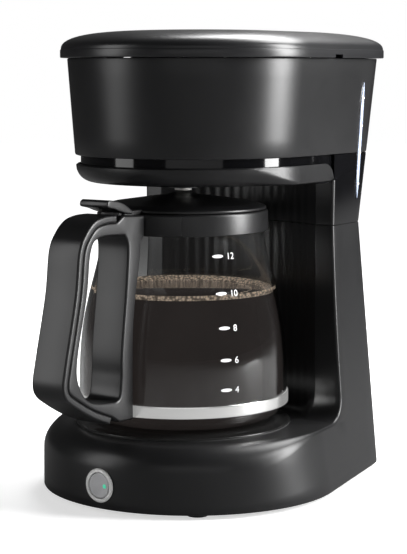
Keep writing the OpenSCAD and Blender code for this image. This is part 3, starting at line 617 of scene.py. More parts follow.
def clear_glass(name, colour, roughness=0.0):
    """Clear glass with the faintest waviness."""
    material, tree, shader, place = finish(name)
    shader.inputs["Base Color"].default_value = (*colour, 1)
    shader.inputs["Roughness"].default_value = roughness
    shader.inputs["IOR"].default_value = 1.45
    shader.inputs["Transmission Weight"].default_value = 1.0
    shader.inputs["Specular IOR Level"].default_value = 0.35
    waves = noise(tree, place, 30, 1)
    bumped(tree, shader, waves.outputs["Fac"], 0.04, 0.0004)
    return material


def coffee_finish(colour):
    """Black coffee: nearly opaque, very smooth; it glows with its own colour, painted light
    standing in for the light that the glass shadows.
    """
    material, tree, shader, place = finish("black_coffee")
    surface = place_group(tree, moulded_group(), Colour=(*colour, 1), Roughness=0.10,
                          Spread=0.04, Grain=160.0, Patches=0.6)
    tree.links.new(place, surface.inputs["Position"])
    tree.links.new(surface.outputs["Colour"], shader.inputs["Base Color"])
    # Painted light: the coffee glows with its own colour instead of being lit through the glass
    tree.links.new(surface.outputs["Colour"], shader.inputs["Emission Color"])
    shader.inputs["Emission Strength"].default_value = COFFEE_PAINTED_LIGHT
    tree.links.new(surface.outputs["Roughness"], shader.inputs["Roughness"])
    bumped(tree, shader, surface.outputs["Height"], 0.03, 0.0005)
    return material


def foam_finish(colour):
    """Foam of small bubbles, each paler in its middle and darker towards its edge; it glows with
    its own colour, painted light standing in for the light that the glass shadows.
    """
    material, tree, shader, place = finish("coffee_foam")
    bubbles = tree.nodes.new("ShaderNodeTexVoronoi")
    bubbles.feature = "F1"
    bubbles.inputs["Scale"].default_value = 520
    tree.links.new(place, bubbles.inputs["Vector"])
    ramp = tree.nodes.new("ShaderNodeValToRGB")
    ramp.color_ramp.elements[0].position = 0.28
    ramp.color_ramp.elements[0].color = (*[min(1, c * 1.35) for c in colour], 1)
    ramp.color_ramp.elements[1].position = 0.72
    ramp.color_ramp.elements[1].color = (*[c * 0.28 for c in colour], 1)
    tree.links.new(bubbles.outputs["Distance"], ramp.inputs["Fac"])
    tree.links.new(ramp.outputs["Color"], shader.inputs["Base Color"])
    # Painted light: the foam glows with its own colour instead of being lit through the glass
    tree.links.new(ramp.outputs["Color"], shader.inputs["Emission Color"])
    shader.inputs["Emission Strength"].default_value = FOAM_PAINTED_LIGHT
    shader.inputs["Roughness"].default_value = 0.45
    shader.inputs["Subsurface Weight"].default_value = 0.15
    shader.inputs["Subsurface Radius"].default_value = (0.001, 0.0008, 0.0006)
    bumped(tree, shader, bubbles.outputs["Distance"], -0.8, 0.0006)
    return material


def print_finish():
    """White print baked on the glass."""
    material, tree, shader, place = finish("white_print")
    fleck = noise(tree, place, 900, 3)
    ramp = tree.nodes.new("ShaderNodeValToRGB")
    ramp.color_ramp.elements[0].color = (0.78, 0.79, 0.80, 1)
    ramp.color_ramp.elements[1].color = (0.95, 0.95, 0.95, 1)
    tree.links.new(fleck.outputs["Fac"], ramp.inputs["Fac"])
    tree.links.new(ramp.outputs["Color"], shader.inputs["Base Color"])
    shader.inputs["Roughness"].default_value = 0.5
    return material


def lamp_finish(colour):
    """The translucent lens of the lamp, faintly lit."""
    material, tree, shader, place = finish("lamp_green")
    facet = noise(tree, place, 700, 1)
    ramp = tree.nodes.new("ShaderNodeValToRGB")
    ramp.color_ramp.elements[0].color = (*[c * 0.8 for c in colour], 1)
    ramp.color_ramp.elements[1].color = (*colour, 1)
    tree.links.new(facet.outputs["Fac"], ramp.inputs["Fac"])
    tree.links.new(ramp.outputs["Color"], shader.inputs["Base Color"])
    tree.links.new(ramp.outputs["Color"], shader.inputs["Emission Color"])
    shader.inputs["Emission Strength"].default_value = 0.35
    shader.inputs["Roughness"].default_value = 0.2
    return material


def floor_finish(colour):
    """The pale matt floor, lifted to white where the camera sees it; the lift is weaker near the
    machine, so the floor is painted darker round it over the real shadow, it is painted darker
    where it shows in reflections, and everywhere it glows faintly, painting a little light up onto
    the machine.
    """
    material, tree, shader, place = finish("studio_floor")
    paper = noise(tree, place, 60, 2)
    ramp = tree.nodes.new("ShaderNodeValToRGB")
    ramp.color_ramp.elements[0].color = (*[c * 0.985 for c in colour], 1)
    ramp.color_ramp.elements[1].color = (*colour, 1)
    tree.links.new(paper.outputs["Fac"], ramp.inputs["Fac"])
    path = tree.nodes.new("ShaderNodeLightPath")
    # Painted shade: the floor turns darker where glossy rays see it, so its reflections in the
    # machine are dimmed
    dark = tinted(tree, maths(tree, "MULTIPLY", path.outputs["Is Glossy Ray"], FLOOR_DIM),
                  ramp.outputs["Color"], (0, 0, 0))
    tree.links.new(dark, shader.inputs["Base Color"])
    shader.inputs["Roughness"].default_value = 0.8
    shader.inputs["Specular IOR Level"].default_value = 0.1
    shader.inputs["Emission Color"].default_value = (1, 1, 1, 1)
    reach = tree.nodes.new("ShaderNodeVectorMath")
    reach.operation = "LENGTH"
    tree.links.new(place, reach.inputs[0])
    spread = tree.nodes.new("ShaderNodeMapRange")
    for socket, value in zip(("From Min", "From Max", "To Min", "To Max"), FLOOR_LIFT):
        spread.inputs[socket].default_value = value
    tree.links.new(reach.outputs["Value"], spread.inputs["Value"])
    # Painted shade round the machine: the camera sees less glow near it; a faint glow everywhere
    # paints light onto the machine
    seen = maths(tree, "MULTIPLY", path.outputs["Is Camera Ray"], spread.outputs["Result"])
    tree.links.new(maths(tree, "MAXIMUM", seen, FLOOR_GLOW), shader.inputs["Emission Strength"])
    return material


def make_finishes(colours):
    """Every finish by the record's slot name, with a few more for what only the looks have."""
    return {
        "satin_plastic": plastic("satin_plastic", colours.shell, 0.33, grain=2200, depth=0.25,
                                 wear_and_highlight=0.3, dust=0.02, specular=0.42),
        "gloss_plastic": plastic("gloss_plastic", colours.gloss, 0.07, grain=300, depth=0.01,
                                 spread=0.03, patches=0.1, specular=0.4),
        "lid_plastic": plastic("lid_plastic", colours.lid, 0.30, grain=1500, depth=0.08,
                               wear_and_highlight=0.3, dust=0.05, specular=0.5),
        "handle_plastic": plastic("handle_plastic", colours.handle, 0.34, grain=2400, depth=0.15,
                                  wear_and_highlight=0.3, specular=0.5),
        "inner_plastic": plastic("inner_plastic", (0.035, 0.035, 0.038), 0.5, patches=0.3),
        "carafe_glass": clear_glass("carafe_glass", (0.985, 0.99, 0.99)),
        "window_glass": plastic("window_glass", (0.30, 0.35, 0.46), 0.12, grain=500, depth=0.05,
                                patches=0.9, coat=1.0),
        "steel": metal("steel", (0.80, 0.80, 0.79), 0.16, stretch=(1, 1, 14)),
        "bright_steel_painted_sheen": metal("bright_steel_painted_sheen", (0.86, 0.86, 0.85), 0.2, stretch=(1, 1, 14),
                              painted_sheen=STEEL_BAND_PAINTED_SHEEN),
        "element_alloy": metal("element_alloy", (0.62, 0.63, 0.65), 0.45, depth=0.4, grain=600),
        "hotplate_coat": plastic("hotplate_coat", (0.012, 0.012, 0.012), 0.22, grain=900, depth=0.2,
                                 spread=0.12, wear_and_highlight=0.4, dust=0.02),
        "bezel_silver": plastic("bezel_silver", (0.66, 0.66, 0.65), 0.28, grain=1500, depth=0.1,
                                patches=0.05, coat=0.4),
        "button_grey": plastic("button_grey", (0.36, 0.36, 0.37), 0.36, grain=1500, depth=0.15),
        "lamp_green": lamp_finish(colours.lamp),
        "rubber": plastic("rubber", (0.018, 0.018, 0.018), 0.72, grain=700, depth=0.35, dust=0.04),
        "silicone": plastic("silicone", (0.42, 0.42, 0.40), 0.42, grain=500, patches=0.1),
        "red_silicone": plastic("red_silicone", (0.42, 0.09, 0.05), 0.45, grain=500, patches=0.1),
        "white_nylon": plastic("white_nylon", (0.72, 0.71, 0.67), 0.45, grain=900, patches=0.1),
        "coffee": coffee_finish(colours.coffee),
        "foam": foam_finish(colours.foam),
        "print": print_finish(),
        "floor": floor_finish(colours.floor),
    }


finishes = {}


# ---- The base and column moulding ----

RIB_PITCH = 8 * MM
RIB_DEPTH = 0.35 * MM
BAY_SWEEP = 6 * MM
FRONT_STEPS = 56
DECK_HOLE_R = 72 * MM


def bay_y(x):
    """Depth of the hollow face behind the carafe, with its faint upright ribs."""
    t = x / bay_half
    rib = RIB_DEPTH * (0.5 + 0.5 * math.cos(FULL_TURN * x / RIB_PITCH)) * (1 - t ** 4)
    return column_y + bay_depth * (1 - t * t) - rib


def front_share(a):
    """How fully a point takes the base's round shoulder, from the column to the front."""
    return 1 - ease((abs(math.degrees(a) + 90) - 55) / 42)


def bay_points(x_side, edge):
    """Half of the column's front face as (x, y, sweep share): the hollow, then the leg."""
    hollow = [(x, bay_y(x), ease((x - 54 * MM) / (15 * MM)))
              for x in steps(0, bay_half, FRONT_STEPS)]
    leg = [(x, column_y, 1) for x in steps(bay_half + 0.5 * MM, x_side - edge, 5)]
    return hollow + leg


def lower_body_skin(sizes):
    bm = bmesh.new()
    edge, sweep, shoulder = sizes.edge, sizes.sweep, sizes.shoulder
    y_end = column_y - sweep
    side_count, turn_count = 8, 10

    def base_half(level, turn):
        """Half of a ring of the base; level climbs the wall, then turn goes round the shoulder."""
        drop, points = 1 - math.cos(turn), []
        z_side = mix(foot_z, deck_z - edge, level) + edge * math.sin(turn)
        a0 = side_angle(line_at(z_side))
        for a in steps(-math.pi / 2, a0, FRONT_STEPS):
            w = front_share(a)
            r_turn = mix(edge, shoulder, w)
            z = mix(foot_z, deck_z - r_turn, level) + r_turn * math.sin(turn)
            r = mix(line_at(z)[0], base_r, w) - r_turn * drop
            points.append((r * math.cos(a), base_cy + r * math.sin(a), z))
        y0 = points[-1][1]
        for y in steps(y0, y_end, side_count)[1:]:
            points.append((side_x(line_at(z_side), y) - edge * drop, y, z_side))
        return points

    def rear_half(z, y0):
        line = line_at(z)
        return [(p[0], p[1], z) for p in half_rear(line, y0)]

    wall_levels = [(0, -1.1), (0.012, -0.3), (0.03, 0)] + [(t, 0) for t in (0.25, 0.5, 0.75, 1)]
    rings = []
    for level, inset in wall_levels:
        half = base_half(level, 0)
        z = half[-1][2]
        points = half + rear_half(z, y_end)[1:]
        if inset:
            centre = Vector((0, base_cy, 0))
            points = [(p[0] + inset * MM * (Vector(p[:2]) - centre.xy).normalized().x,
                       p[1] + inset * MM * (Vector(p[:2]) - centre.xy).normalized().y, p[2])
                      for p in points]
        rings.append([Vector(p) for p in whole(points)])
    last = loft(bm, rings)[1]

    # The shoulder runs round the front only, from one end of the sweep to the other
    front_count = FRONT_STEPS + side_count + 1
    total = len(last)
    left = [last[total - i] for i in range(front_count - 1, 0, -1)]
    front = left + last[:front_count]
    columns = [(front[0], front[-1])]
    for turn in steps(0, math.pi / 2, turn_count)[1:]:
        half = base_half(1, turn)
        points = [(-p[0], p[1], p[2]) for p in reversed(half[1:])] + half
        front = grow(bm, front, [Vector(p) for p in points], closed=False)
        columns.append((front[0], front[-1]))

    # The column's first ring: the deck's rim at the front, the shoulder's ends, then the rear
    rear_verts = last[front_count:total - front_count + 1]

    def column_half(theta, height):
        """Half of a column ring: front face, rounded upright edge; theta sweeps, height climbs."""
        normal = Vector((0, -math.sin(theta), math.cos(theta)))
        y = column_y - sweep * (1 - math.sin(theta))
        z = mix(deck_z + sweep * (1 - math.cos(theta)), waist_z, height)
        side = side_x(line_at(z), y)
        face = []
        for x, face_y, share in bay_points(side, edge):
            radius = mix(BAY_SWEEP, sweep, share)
            climb = mix(deck_z + radius * (1 - math.cos(theta)), waist_z, height)
            face.append(Vector((x, face_y - radius * (1 - math.sin(theta)), climb)))
        turns = []
        for turn in steps(math.pi / 2, 0, turn_count):
            back = edge * (1 - math.sin(turn))
            spot = Vector((side - edge * (1 - math.cos(turn)), y, z)) - back * normal
            turns.append(spot)
        rear_z = turns[-1].z
        rear = [Vector(p) for p in rear_half(rear_z, turns[-1].y)]
        return face[:-1] + turns, rear[1:]

    face, rear = column_half(0, 0)
    half_count = len(face) - turn_count - 1
    deck_right = [bm.verts.new(p) for p in face[:half_count]]
    deck_left = [bm.verts.new((-p.x, p.y, p.z)) for p in reversed(face[1:half_count])]
    right_turn = [pair[1] for pair in reversed(columns)]
    left_turn = [pair[0] for pair in columns]
    ring = deck_right + right_turn + rear_verts + left_turn + deck_left
    deck_edges = edges_of(bm, [left_turn[-1]] + deck_left + deck_right + [right_turn[0]],
                          closed=False)
    for theta, height in ([(t, 0) for t in steps(0, math.pi / 2, 9)[1:]]
                          + [(math.pi / 2, t) for t in (0.2, 0.4, 0.6, 0.8, 0.995)]):
        face, rear = column_half(theta, height)
        ring = grow(bm, ring, whole(face + rear))
    ring = grow(bm, ring,
                [Vector((p.co.x * 0.995, mix(p.co.y, 90 * MM, 0.008), waist_z)) for p in ring])

    # The deck between the shoulder's rim, the column and the round hole for the plate
    hole = bmesh.ops.create_circle(bm, cap_ends=False, segments=ROUND_SEGMENTS, radius=DECK_HOLE_R,
                                   matrix=Matrix.Translation((0, 0, deck_z)))["verts"]
    hole_edges = {e for v in hole for e in v.link_edges}
    rim_edges = edges_of(bm, front, closed=False)
    bmesh.ops.bridge_loops(bm, edges=list(hole_edges) + rim_edges + deck_edges)
    weld(bm)
    return bm


class MAKER_OT_lower_body(bpy.types.Operator):
    """Build the base and column moulding"""
    bl_idname = "maker.lower_body"
    bl_label = "Lower body"

    def execute(self, context):
        sizes = settings(context)[0]
        bm = lower_body_skin(sizes)
        piece = finish_mesh(bm, "lower_body_shell", finishes["satin_plastic"], "root",
                            ["lower_body"])
        add_wall(piece, sizes.wall)
        settle(piece)
        holes = bmesh.new()
        sleeve = (bezel_high.x - bezel_low.x) / 2 - 1.5 * MM
        button_z = (bezel_low.z + bezel_high.z) / 2
        bar(holes, (0, body_low.y - 5 * MM, button_z), (0, 1, 0), 18 * MM, sleeve, 64)
        gland = (gland_low + gland_high) / 2
        bar(holes, (gland.x, base_rear - 12 * MM, gland.z), (0, 1, 0), 20 * MM, 6.05 * MM, 48)
        cut(piece, holes)
        return {"FINISHED"}


# ---- The head ----

CHIN_INSET = 2.5 * MM
CHIN_ROUND = 12 * MM
DRIP_HOLE_R = 26 * MM
BAND_INSET = 4 * MM
BLADE_SHARE = 0.78
BLADE_BULGE = 0.9 * MM
SURROUND_BULGE = 0.25 * MM
STRIP_DEPTH = 0.3 * MM
STRIP_RINGS = 60
PANEL_FRONT = column_y + 1.2 * MM


def chin_share(a):
    """How fully a point takes the chin's rounding, from the sides to the front."""
    return 1 - ease((abs(math.degrees(a) + 90) - 62) / 34)


def arch_top(y, radius):
    """Height of the arch frame's upper edge, which turns down towards the legs."""
    over = max(0, y - (column_y - radius))
    return band_z - (radius - math.sqrt(max(0, radius ** 2 - over ** 2)))


def chin_half(level, turn, radius):
    """Half of a ring of the chin: level climbs its wall, turn goes under its round edge."""
    drop, points = 1 - math.cos(turn), []
    line = line_at(mix(chin_z, band_z, level))
    a0 = side_angle(line)
    for a in steps(-math.pi / 2, a0, FRONT_STEPS):
        w = chin_share(a)
        r_turn = mix(2.2 * MM, CHIN_ROUND, w)
        low = chin_z + r_turn * (1 - math.sin(turn))
        r = line[0] - CHIN_INSET * w - r_turn * drop
        points.append((r * math.cos(a), line[1] + r * math.sin(a), mix(low, band_z, level)))
    r_turn = 2.2 * MM
    low = chin_z + r_turn * (1 - math.sin(turn))
    for y in steps(points[-1][1], column_y, 24)[1:]:
        top = max(arch_top(y, radius), low + 0.4 * MM)
        points.append((side_x(line, y) - r_turn * drop, y, mix(low, top, level)))
    return points


def arch_chin(radius):
    bm = bmesh.new()
    rings = []
    for level, turn in ([(0, t) for t in steps(math.pi / 2, 0, 10)]
                        + [(t, 0) for t in (0.3, 0.6, 0.85, 0.94)]):
        half = chin_half(level, turn, radius)
        back = [(x, column_y, half[-1][2]) for x in steps(half[-1][0], 0, 8)[1:]]
        rings.append([Vector(p) for p in whole(half + back)])
    for share, inset in ((0.985, 0.25), (1, 0.9)):
        half = chin_half(share, 0, radius)
        back = [(x, column_y, half[-1][2]) for x in steps(half[-1][0], 0, 8)[1:]]
        ring = [Vector(p) for p in whole(half + back)]
        rings.append([p - Vector((p.x, p.y - head_cy, 0)).normalized() * inset * MM for p in ring])
    first = loft(bm, rings)[0]
    hole = bmesh.ops.create_circle(bm, cap_ends=False, segments=len(first), radius=DRIP_HOLE_R,
                                   matrix=Matrix.Translation((0, 0, chin_z)))["verts"]
    hole_edges = {e for v in hole for e in v.link_edges}
    bmesh.ops.bridge_loops(bm, edges=list(hole_edges) + edges_of(bm, first))
    weld(bm)
    return bm


def arch_legs(edge):
    """The two legs and the hollow face between them, below the chin."""
    bm = bmesh.new()
    rings = []
    for z, inset in ((waist_z + 0.2 * MM, 0.5), (waist_z + 0.8 * MM, 0),
                     (mix(waist_z, chin_z, 0.5), 0),
                     (chin_z + 0.6 * MM, 0)):
        side = side_x(line_at(z), column_y) - inset * MM
        face = [(x, y + inset * MM) for x, y, _ in bay_points(side, edge)][:-1]
        turns = [(side - edge * (1 - math.cos(t)), column_y + inset * MM + edge * (1 - math.sin(t)))
                 for t in steps(math.pi / 2, 0, 6)]
        half = face + turns + [(side, column_y + 2.4 * MM)]
        points = [(-p[0], p[1]) for p in reversed(half[1:])] + half
        rings.append(raised(points, z))
    loft(bm, rings, closed=False)
    weld(bm)
    return bm


class MAKER_OT_arch_frame(bpy.types.Operator):
    """Build the arch frame under the head"""
    bl_idname = "maker.arch_frame"
    bl_label = "Arch frame"

    def execute(self, context):
        sizes = settings(context)[0]
        chin = finish_mesh(arch_chin(sizes.arch), "arch_chin", finishes["satin_plastic"], "root",
                           ["arch_frame"])
        add_wall(chin, sizes.wall)
        settle(chin)
        legs = finish_mesh(arch_legs(sizes.edge), "arch_legs", finishes["satin_plastic"], "root")
        add_wall(legs, sizes.wall)
        settle(legs)
        return {"FINISHED"}


class MAKER_OT_trim(bpy.types.Operator):
    """Build the gloss band and rear panel"""
    bl_idname = "maker.trim"
    bl_label = "Trim band and rear panel"

    def execute(self, context):
        bm = bmesh.new()
        rings = []
        for t in steps(0, 1, 4):
            half = half_front(line_at(housing_z), 69 * MM, -BAND_INSET, FRONT_STEPS, 20)
            points = []
            for x, y in half:
                near = ease((y - 36 * MM) / (12 * MM))
                low = mix(band_z - 1 * MM, chin_z - 1 * MM, near)
                z = mix(low, housing_z, t)
                inset = mix(BAND_INSET, 2.3 * MM, near)
                if y > head_cy:
                    x = side_x(line_at(z), y, -inset)
                points.append((x, y, z))
            back = half_rear(line_at(housing_z), 70 * MM, -BAND_INSET)
            points += [(x, y, mix(band_z, housing_z, t)) for x, y in back]
            rings.append([Vector(p) for p in whole(points)])
        loft(bm, rings)
        weld(bm)
        band = finish_mesh(bm, "trim_band_ring", finishes["gloss_plastic"], "root",
                           ["trim_band"])
        add_wall(band, 1.2 * MM)
        settle(band)

        bm = bmesh.new()
        rings = []
        low, high = waist_z + 0.15 * MM, housing_z - 0.15 * MM
        for z, inset in ((low, 0.7), (low + 0.25 * MM, 0.2), (low + 0.8 * MM, 0.05),
                         (mix(low, high, 0.5), 0.05), (high - 0.8 * MM, 0.05),
                         (high - 0.25 * MM, 0.2), (high, 0.7)):
            half = half_rear(line_at(z), PANEL_FRONT, -inset * MM, side_steps=10, turn_steps=16)
            lip = [(half[0][0] - 0.6 * MM, half[0][1])]
            half = lip + half
            points = half + [(-p[0], p[1]) for p in reversed(half[:-1])]
            rings.append(raised(points, z))
        loft(bm, rings, closed=False)
        weld(bm)
        panel = finish_mesh(bm, "rear_panel_shell", finishes["gloss_plastic"], "root",
                            ["rear_panel"])
        add_wall(panel, 1.8 * MM)
        settle(panel)
        return {"FINISHED"}


def knuckles(bm, spans, y, z, radius, foot):
    """Hinge knuckles along X with a web from each to its housing or lid."""
    for x0, x1 in spans:
        bar(bm, (x0, y, z), (1, 0, 0), x1 - x0, radius, 32)
        box(bm, (x0, foot[0], foot[1]), (x1, foot[2], foot[3]))


class MAKER_OT_housing(bpy.types.Operator):
    """Build the upper housing with its hinge lugs"""
    bl_idname = "maker.housing"
    bl_label = "Upper housing"

    def execute(self, context):
        sizes = settings(context)[0]
        bm = bmesh.new()
        levels = [(housing_z, 1.2), (housing_z + 0.3 * MM, 0.35), (housing_z + 1.2 * MM, 0)]
        levels += [(z, 0) for z in steps(housing_z, rim_z, 5)[1:-1]]
        levels += [(rim_z - 0.8 * MM, 0), (rim_z - 0.2 * MM, 0.2), (rim_z, 0.8)]
        loft(bm, [raised(self.ring(z, -inset * MM), z) for z, inset in levels])
        weld(bm)
        piece = finish_mesh(bm, "upper_housing_shell", finishes["satin_plastic"], "root",
                            ["upper_housing"])
        add_wall(piece, sizes.wall)
        settle(piece)
        bm = bmesh.new()
        y, z = (pin_low.y + pin_high.y) / 2, (pin_low.z + pin_high.z) / 2
        r = 3.5 * MM
        knuckles(bm, ((-47 * MM, -40 * MM), (40 * MM, 47 * MM)), y, z, r,
                 (y - r - 1.5 * MM, z - 8 * MM, y - 0.4 * MM, z + r * 0.6))
        bmesh.ops.bevel(bm, geom=[e for e in bm.edges if e.is_manifold and e.calc_face_angle() > 1],
                        offset=0.4 * MM, segments=2, affect="EDGES", profile=0.5, material=-1)
        finish_mesh(bm, "housing_lugs", finishes["satin_plastic"], "root",
                    sharp=40)
        return {"FINISHED"}

    @staticmethod
    def ring(z, out):
        line = line_at(z)
        split = mix(line[1], line[3] - corner_r, 0.5)
        return whole(half_front(line, split, out, FRONT_STEPS, 8)
                     + half_rear(line, split, out, 8, 14)[1:])


WINDOW_MARKS = [276.6 * MM, 256.5 * MM, 236.7 * MM, 214.4 * MM]


class MAKER_OT_window(bpy.types.Operator):
    """Build the blade-shaped water window with its level marks"""
    bl_idname = "maker.window"
    bl_label = "Water window"

    def execute(self, context):
        y0, y1 = window_low.y, window_high.y
        middle, half_w = (y0 + y1) / 2, (y1 - y0) / 2
        low, high = window_low.z, window_high.z

        def strip(width, out, inward, z0, z1, rows):
            """A bowed strip on the side wall, pointed at both ends."""
            rings = []
            for t in steps(0, 1, rows):
                z = mix(z0, z1, t)
                taper = min(1, (1 - abs(2 * t - 1) ** 5) + 0.06)
                w = width * taper
                ring = []
                for s in steps(-1, 1, 8):
                    lift = out * (1 - s ** 4) + 0.1 * MM
                    ring.append(Vector((side_x(line_at(z), middle + w * s, lift), middle + w * s,
                                        z)))
                for s in (1, -1):
                    ring.append(Vector((side_x(line_at(z), middle + w * s, -inward),
                                        middle + w * s, z)))
                rings.append(ring)
            bm = bmesh.new()
            first, last = loft(bm, rings)
            for verts in (first, last):
                bmesh.ops.contextual_create(bm, geom=verts)
            weld(bm)
            return bm

        finish_mesh(strip(half_w * BLADE_SHARE, BLADE_BULGE, STRIP_DEPTH, low, high, STRIP_RINGS),
                    "window_blade", finishes["window_glass"], "root",
                    ["sight_window"], 50)
        finish_mesh(strip(half_w, SURROUND_BULGE, STRIP_DEPTH, low - 1 * MM, high + 2 * MM,
                          STRIP_RINGS),
                    "window_surround", finishes["gloss_plastic"], "root", sharp=50)
        bm = bmesh.new()
        for z in WINDOW_MARKS:
            x = side_x(line_at(z), middle, 0.85 * MM)
            place = (Matrix.Translation((x, middle, z))
                     @ Matrix.Diagonal((0.25 * MM, 1.6 * MM, 1.1 * MM, 1)))
            bmesh.ops.create_icosphere(bm, subdivisions=2, radius=1, matrix=place)
        finish_mesh(bm, "window_marks", finishes["print"], "root")
        return {"FINISHED"}


class MAKER_OT_lid(bpy.types.Operator):
    """Build the domed lid with its knuckles"""
    bl_idname = "maker.lid"
    bl_label = "Lid"

    def execute(self, context):
        sizes = settings(context)[0]
        overhang = lid_high.x - head_r
        core = Vector((0, (head_cy + HEAD_TOP_LINE[3] - head_r) / 2))
        top = lid_high.z
        dome_z = lid_z + 6 * MM
        bm = bmesh.new()
        rim = [(lid_z, -0.7), (lid_z + 0.2 * MM, -0.2), (lid_z + 0.8 * MM, 0),
               (mix(lid_z, dome_z, 0.5), 0), (dome_z - 0.6 * MM, 0), (dome_z - 0.1 * MM, -0.25)]
        split = mix(HEAD_TOP_LINE[1], HEAD_TOP_LINE[3] - corner_r, 0.5)

        def rim_points(out):
            return whole(half_front(HEAD_TOP_LINE, split, overhang + out, FRONT_STEPS, 8)
                         + half_rear(HEAD_TOP_LINE, split, overhang + out, 8, 14)[1:])

        rings = [raised(rim_points(inset * MM), z) for z, inset in rim]
        edge = [Vector(p) for p in rim_points(-0.5 * MM)]
        for u in steps(0, 1, 26):
            t = 1 - 0.985 * u ** 2.2
            z = dome_z + (top - dome_z) * (1 - t ** 4) ** 0.42
            rings.append([Vector((*(core + (p - core) * t), z)) for p in edge])
        last = loft(bm, rings)[1]
        bmesh.ops.contextual_create(bm, geom=last)
        weld(bm)
        piece = finish_mesh(bm, "lid_shell", finishes["lid_plastic"], "lid",
                            ["lid_cover"])
        add_wall(piece, sizes.wall)
        settle(piece)
        notches = bmesh.new()
        for side in (-1, 1):
            x = side * lid_high.x
            box(notches, (x - 6 * MM, 51 * MM, lid_z - 1 * MM),
                (x + 6 * MM, 61 * MM, lid_z + 2.4 * MM))
        cut(piece, notches)
        bm = bmesh.new()
        y, z = (pin_low.y + pin_high.y) / 2, (pin_low.z + pin_high.z) / 2
        r = 3.5 * MM
        knuckles(bm, ((-39.7 * MM, -32.7 * MM), (32.7 * MM, 39.7 * MM)), y, z, r,
                 (y - 2.4 * MM, z, y + 1 * MM, lid_z + 1.5 * MM))
        finish_mesh(bm, "lid_knuckles", finishes["lid_plastic"], "lid", sharp=40)
        return {"FINISHED"}


# ---- Warming plate, button and ring ----

class MAKER_OT_warming_plate(bpy.types.Operator):
    """Build the warming plate"""
    bl_idname = "maker.warming_plate"
    bl_label = "Warming plate"

    def execute(self, context):
        top, rim = plate_high.z, plate_high.x
        under = top - 1 * MM
        profile = [(0, top - 0.4 * MM), (61 * MM, top - 0.4 * MM), (62.5 * MM, top),
                   (66 * MM, top), (68.5 * MM, flange_z + 1 * MM), (72 * MM, flange_z + 0.8 * MM),
                   (74 * MM, flange_z + 1.0 * MM), (rim, flange_z + 0.7 * MM), (rim, flange_z),
                   (68 * MM, flange_z), (65.5 * MM, under), (0, under)]
        bm = turned(rounded(profile, 1.2 * MM), 144)
        finish_mesh(bm, "warming_plate_disc", finishes["hotplate_coat"], "root",
                    ["warming_plate"], 40)
        return {"FINISHED"}


def facing_front(bm, y, z, x=0):
    """Turns a piece built about Z so that its top looks along -Y, and puts its origin at y."""
    turn = Matrix.Translation((x, y, z)) @ Matrix.Rotation(math.pi / 2, 4, "X")
    bmesh.ops.transform(bm, matrix=turn, verts=bm.verts)
    return bm


class MAKER_OT_button(bpy.types.Operator):
    """Build the power button, its ring and its lamp"""
    bl_idname = "maker.button"
    bl_label = "Power button"

    def execute(self, context):
        z = (bezel_low.z + bezel_high.z) / 2
        ring_r = (bezel_high.x - bezel_low.x) / 2
        cap_r = (button_high.x - button_low.x) / 2
        proud = body_low.y - bezel_low.y
        depth = bezel_high.y - body_low.y
        profile = [(cap_r + 0.35 * MM, -depth), (cap_r + 0.35 * MM, proud - 0.5 * MM),
                   (cap_r + 0.9 * MM, proud), (ring_r - 1.0 * MM, proud - 0.1 * MM),
                   (ring_r, proud - 0.9 * MM), (ring_r, 0.02 * MM), (ring_r - 1.6 * MM, 0.02 * MM),
                   (ring_r - 1.6 * MM, -depth)]
        bm = turned(rounded(profile + [profile[0]], 0.5 * MM), 96)
        finish_mesh(facing_front(bm, body_low.y, z), "button_ring", finishes["bezel_silver"],
                    "root", ["button_bezel"], 40)
        face = body_low.y - button_low.y
        profile = [(0, -depth), (cap_r - 0.05 * MM, -depth), (cap_r - 0.05 * MM, face - 0.5 * MM),
                   (cap_r - 0.7 * MM, face), (cap_r * 0.6, face - 0.25 * MM), (0, face - 0.35 * MM)]
        bm = turned(rounded(profile, 0.4 * MM), 96)
        cap = finish_mesh(facing_front(bm, body_low.y, z), "button_cap", finishes["button_grey"],
                          "button", ["power_button"], 40)
        lamp_x = (lens_low.x + lens_high.x) / 2
        lamp_r = (lens_high.x - lens_low.x) / 2
        socket = bmesh.new()
        bar(socket, (lamp_x, button_low.y - 2 * MM, z), (0, 1, 0), 5 * MM, lamp_r * 0.72 + 0.1 * MM)
        cut(cap, socket)
        profile = [(0, -2 * MM), (lamp_r * 0.72, -2 * MM), (lamp_r * 0.72, face - 0.1 * MM),
                   (lamp_r * 0.4, face + 0.12 * MM), (0, face + 0.2 * MM)]
        bm = turned(rounded(profile, 0.3 * MM), 48)
        finish_mesh(facing_front(bm, body_low.y, z, lamp_x), "lamp_lens", finishes["lamp_green"],
                    "button", ["indicator_lens"])
        return {"FINISHED"}


# ---- Carafe ----

GLASS_WALL = 2.4 * MM
glass_r = strap_low.x * -1 - 0.9 * MM
glass_z = glass_low.z
glass_top = glass_high.z
glass_wide_z = glass_z + 18 * MM
neck_z = collar_low.z + 4 * MM
NECK_R = 57.2 * MM
GLASS_FOOT_R = 52 * MM


def glass_out(z):
    """Outside radius of the glass at height z."""
    if z < glass_wide_z:
        drop = (glass_wide_z - z) / (glass_wide_z - glass_z)
        return GLASS_FOOT_R + (glass_r - GLASS_FOOT_R) * math.sqrt(max(0, 1 - drop * drop))
    t = clamp((z - glass_wide_z) / (neck_z - glass_wide_z))
    return NECK_R + (glass_r - NECK_R) * (math.cos(math.pi * t ** 1.5) + 1) / 2


def glass_levels(z0, foot_steps=14, side_steps=36):
    """Heights up the glass from z0 to its neck, closer together round the foot."""
    foot = [mix(z0, glass_wide_z, 1 - math.cos(a)) for a in steps(0, math.pi / 2, foot_steps)]
    return foot + steps(glass_wide_z, neck_z, side_steps)[1:]


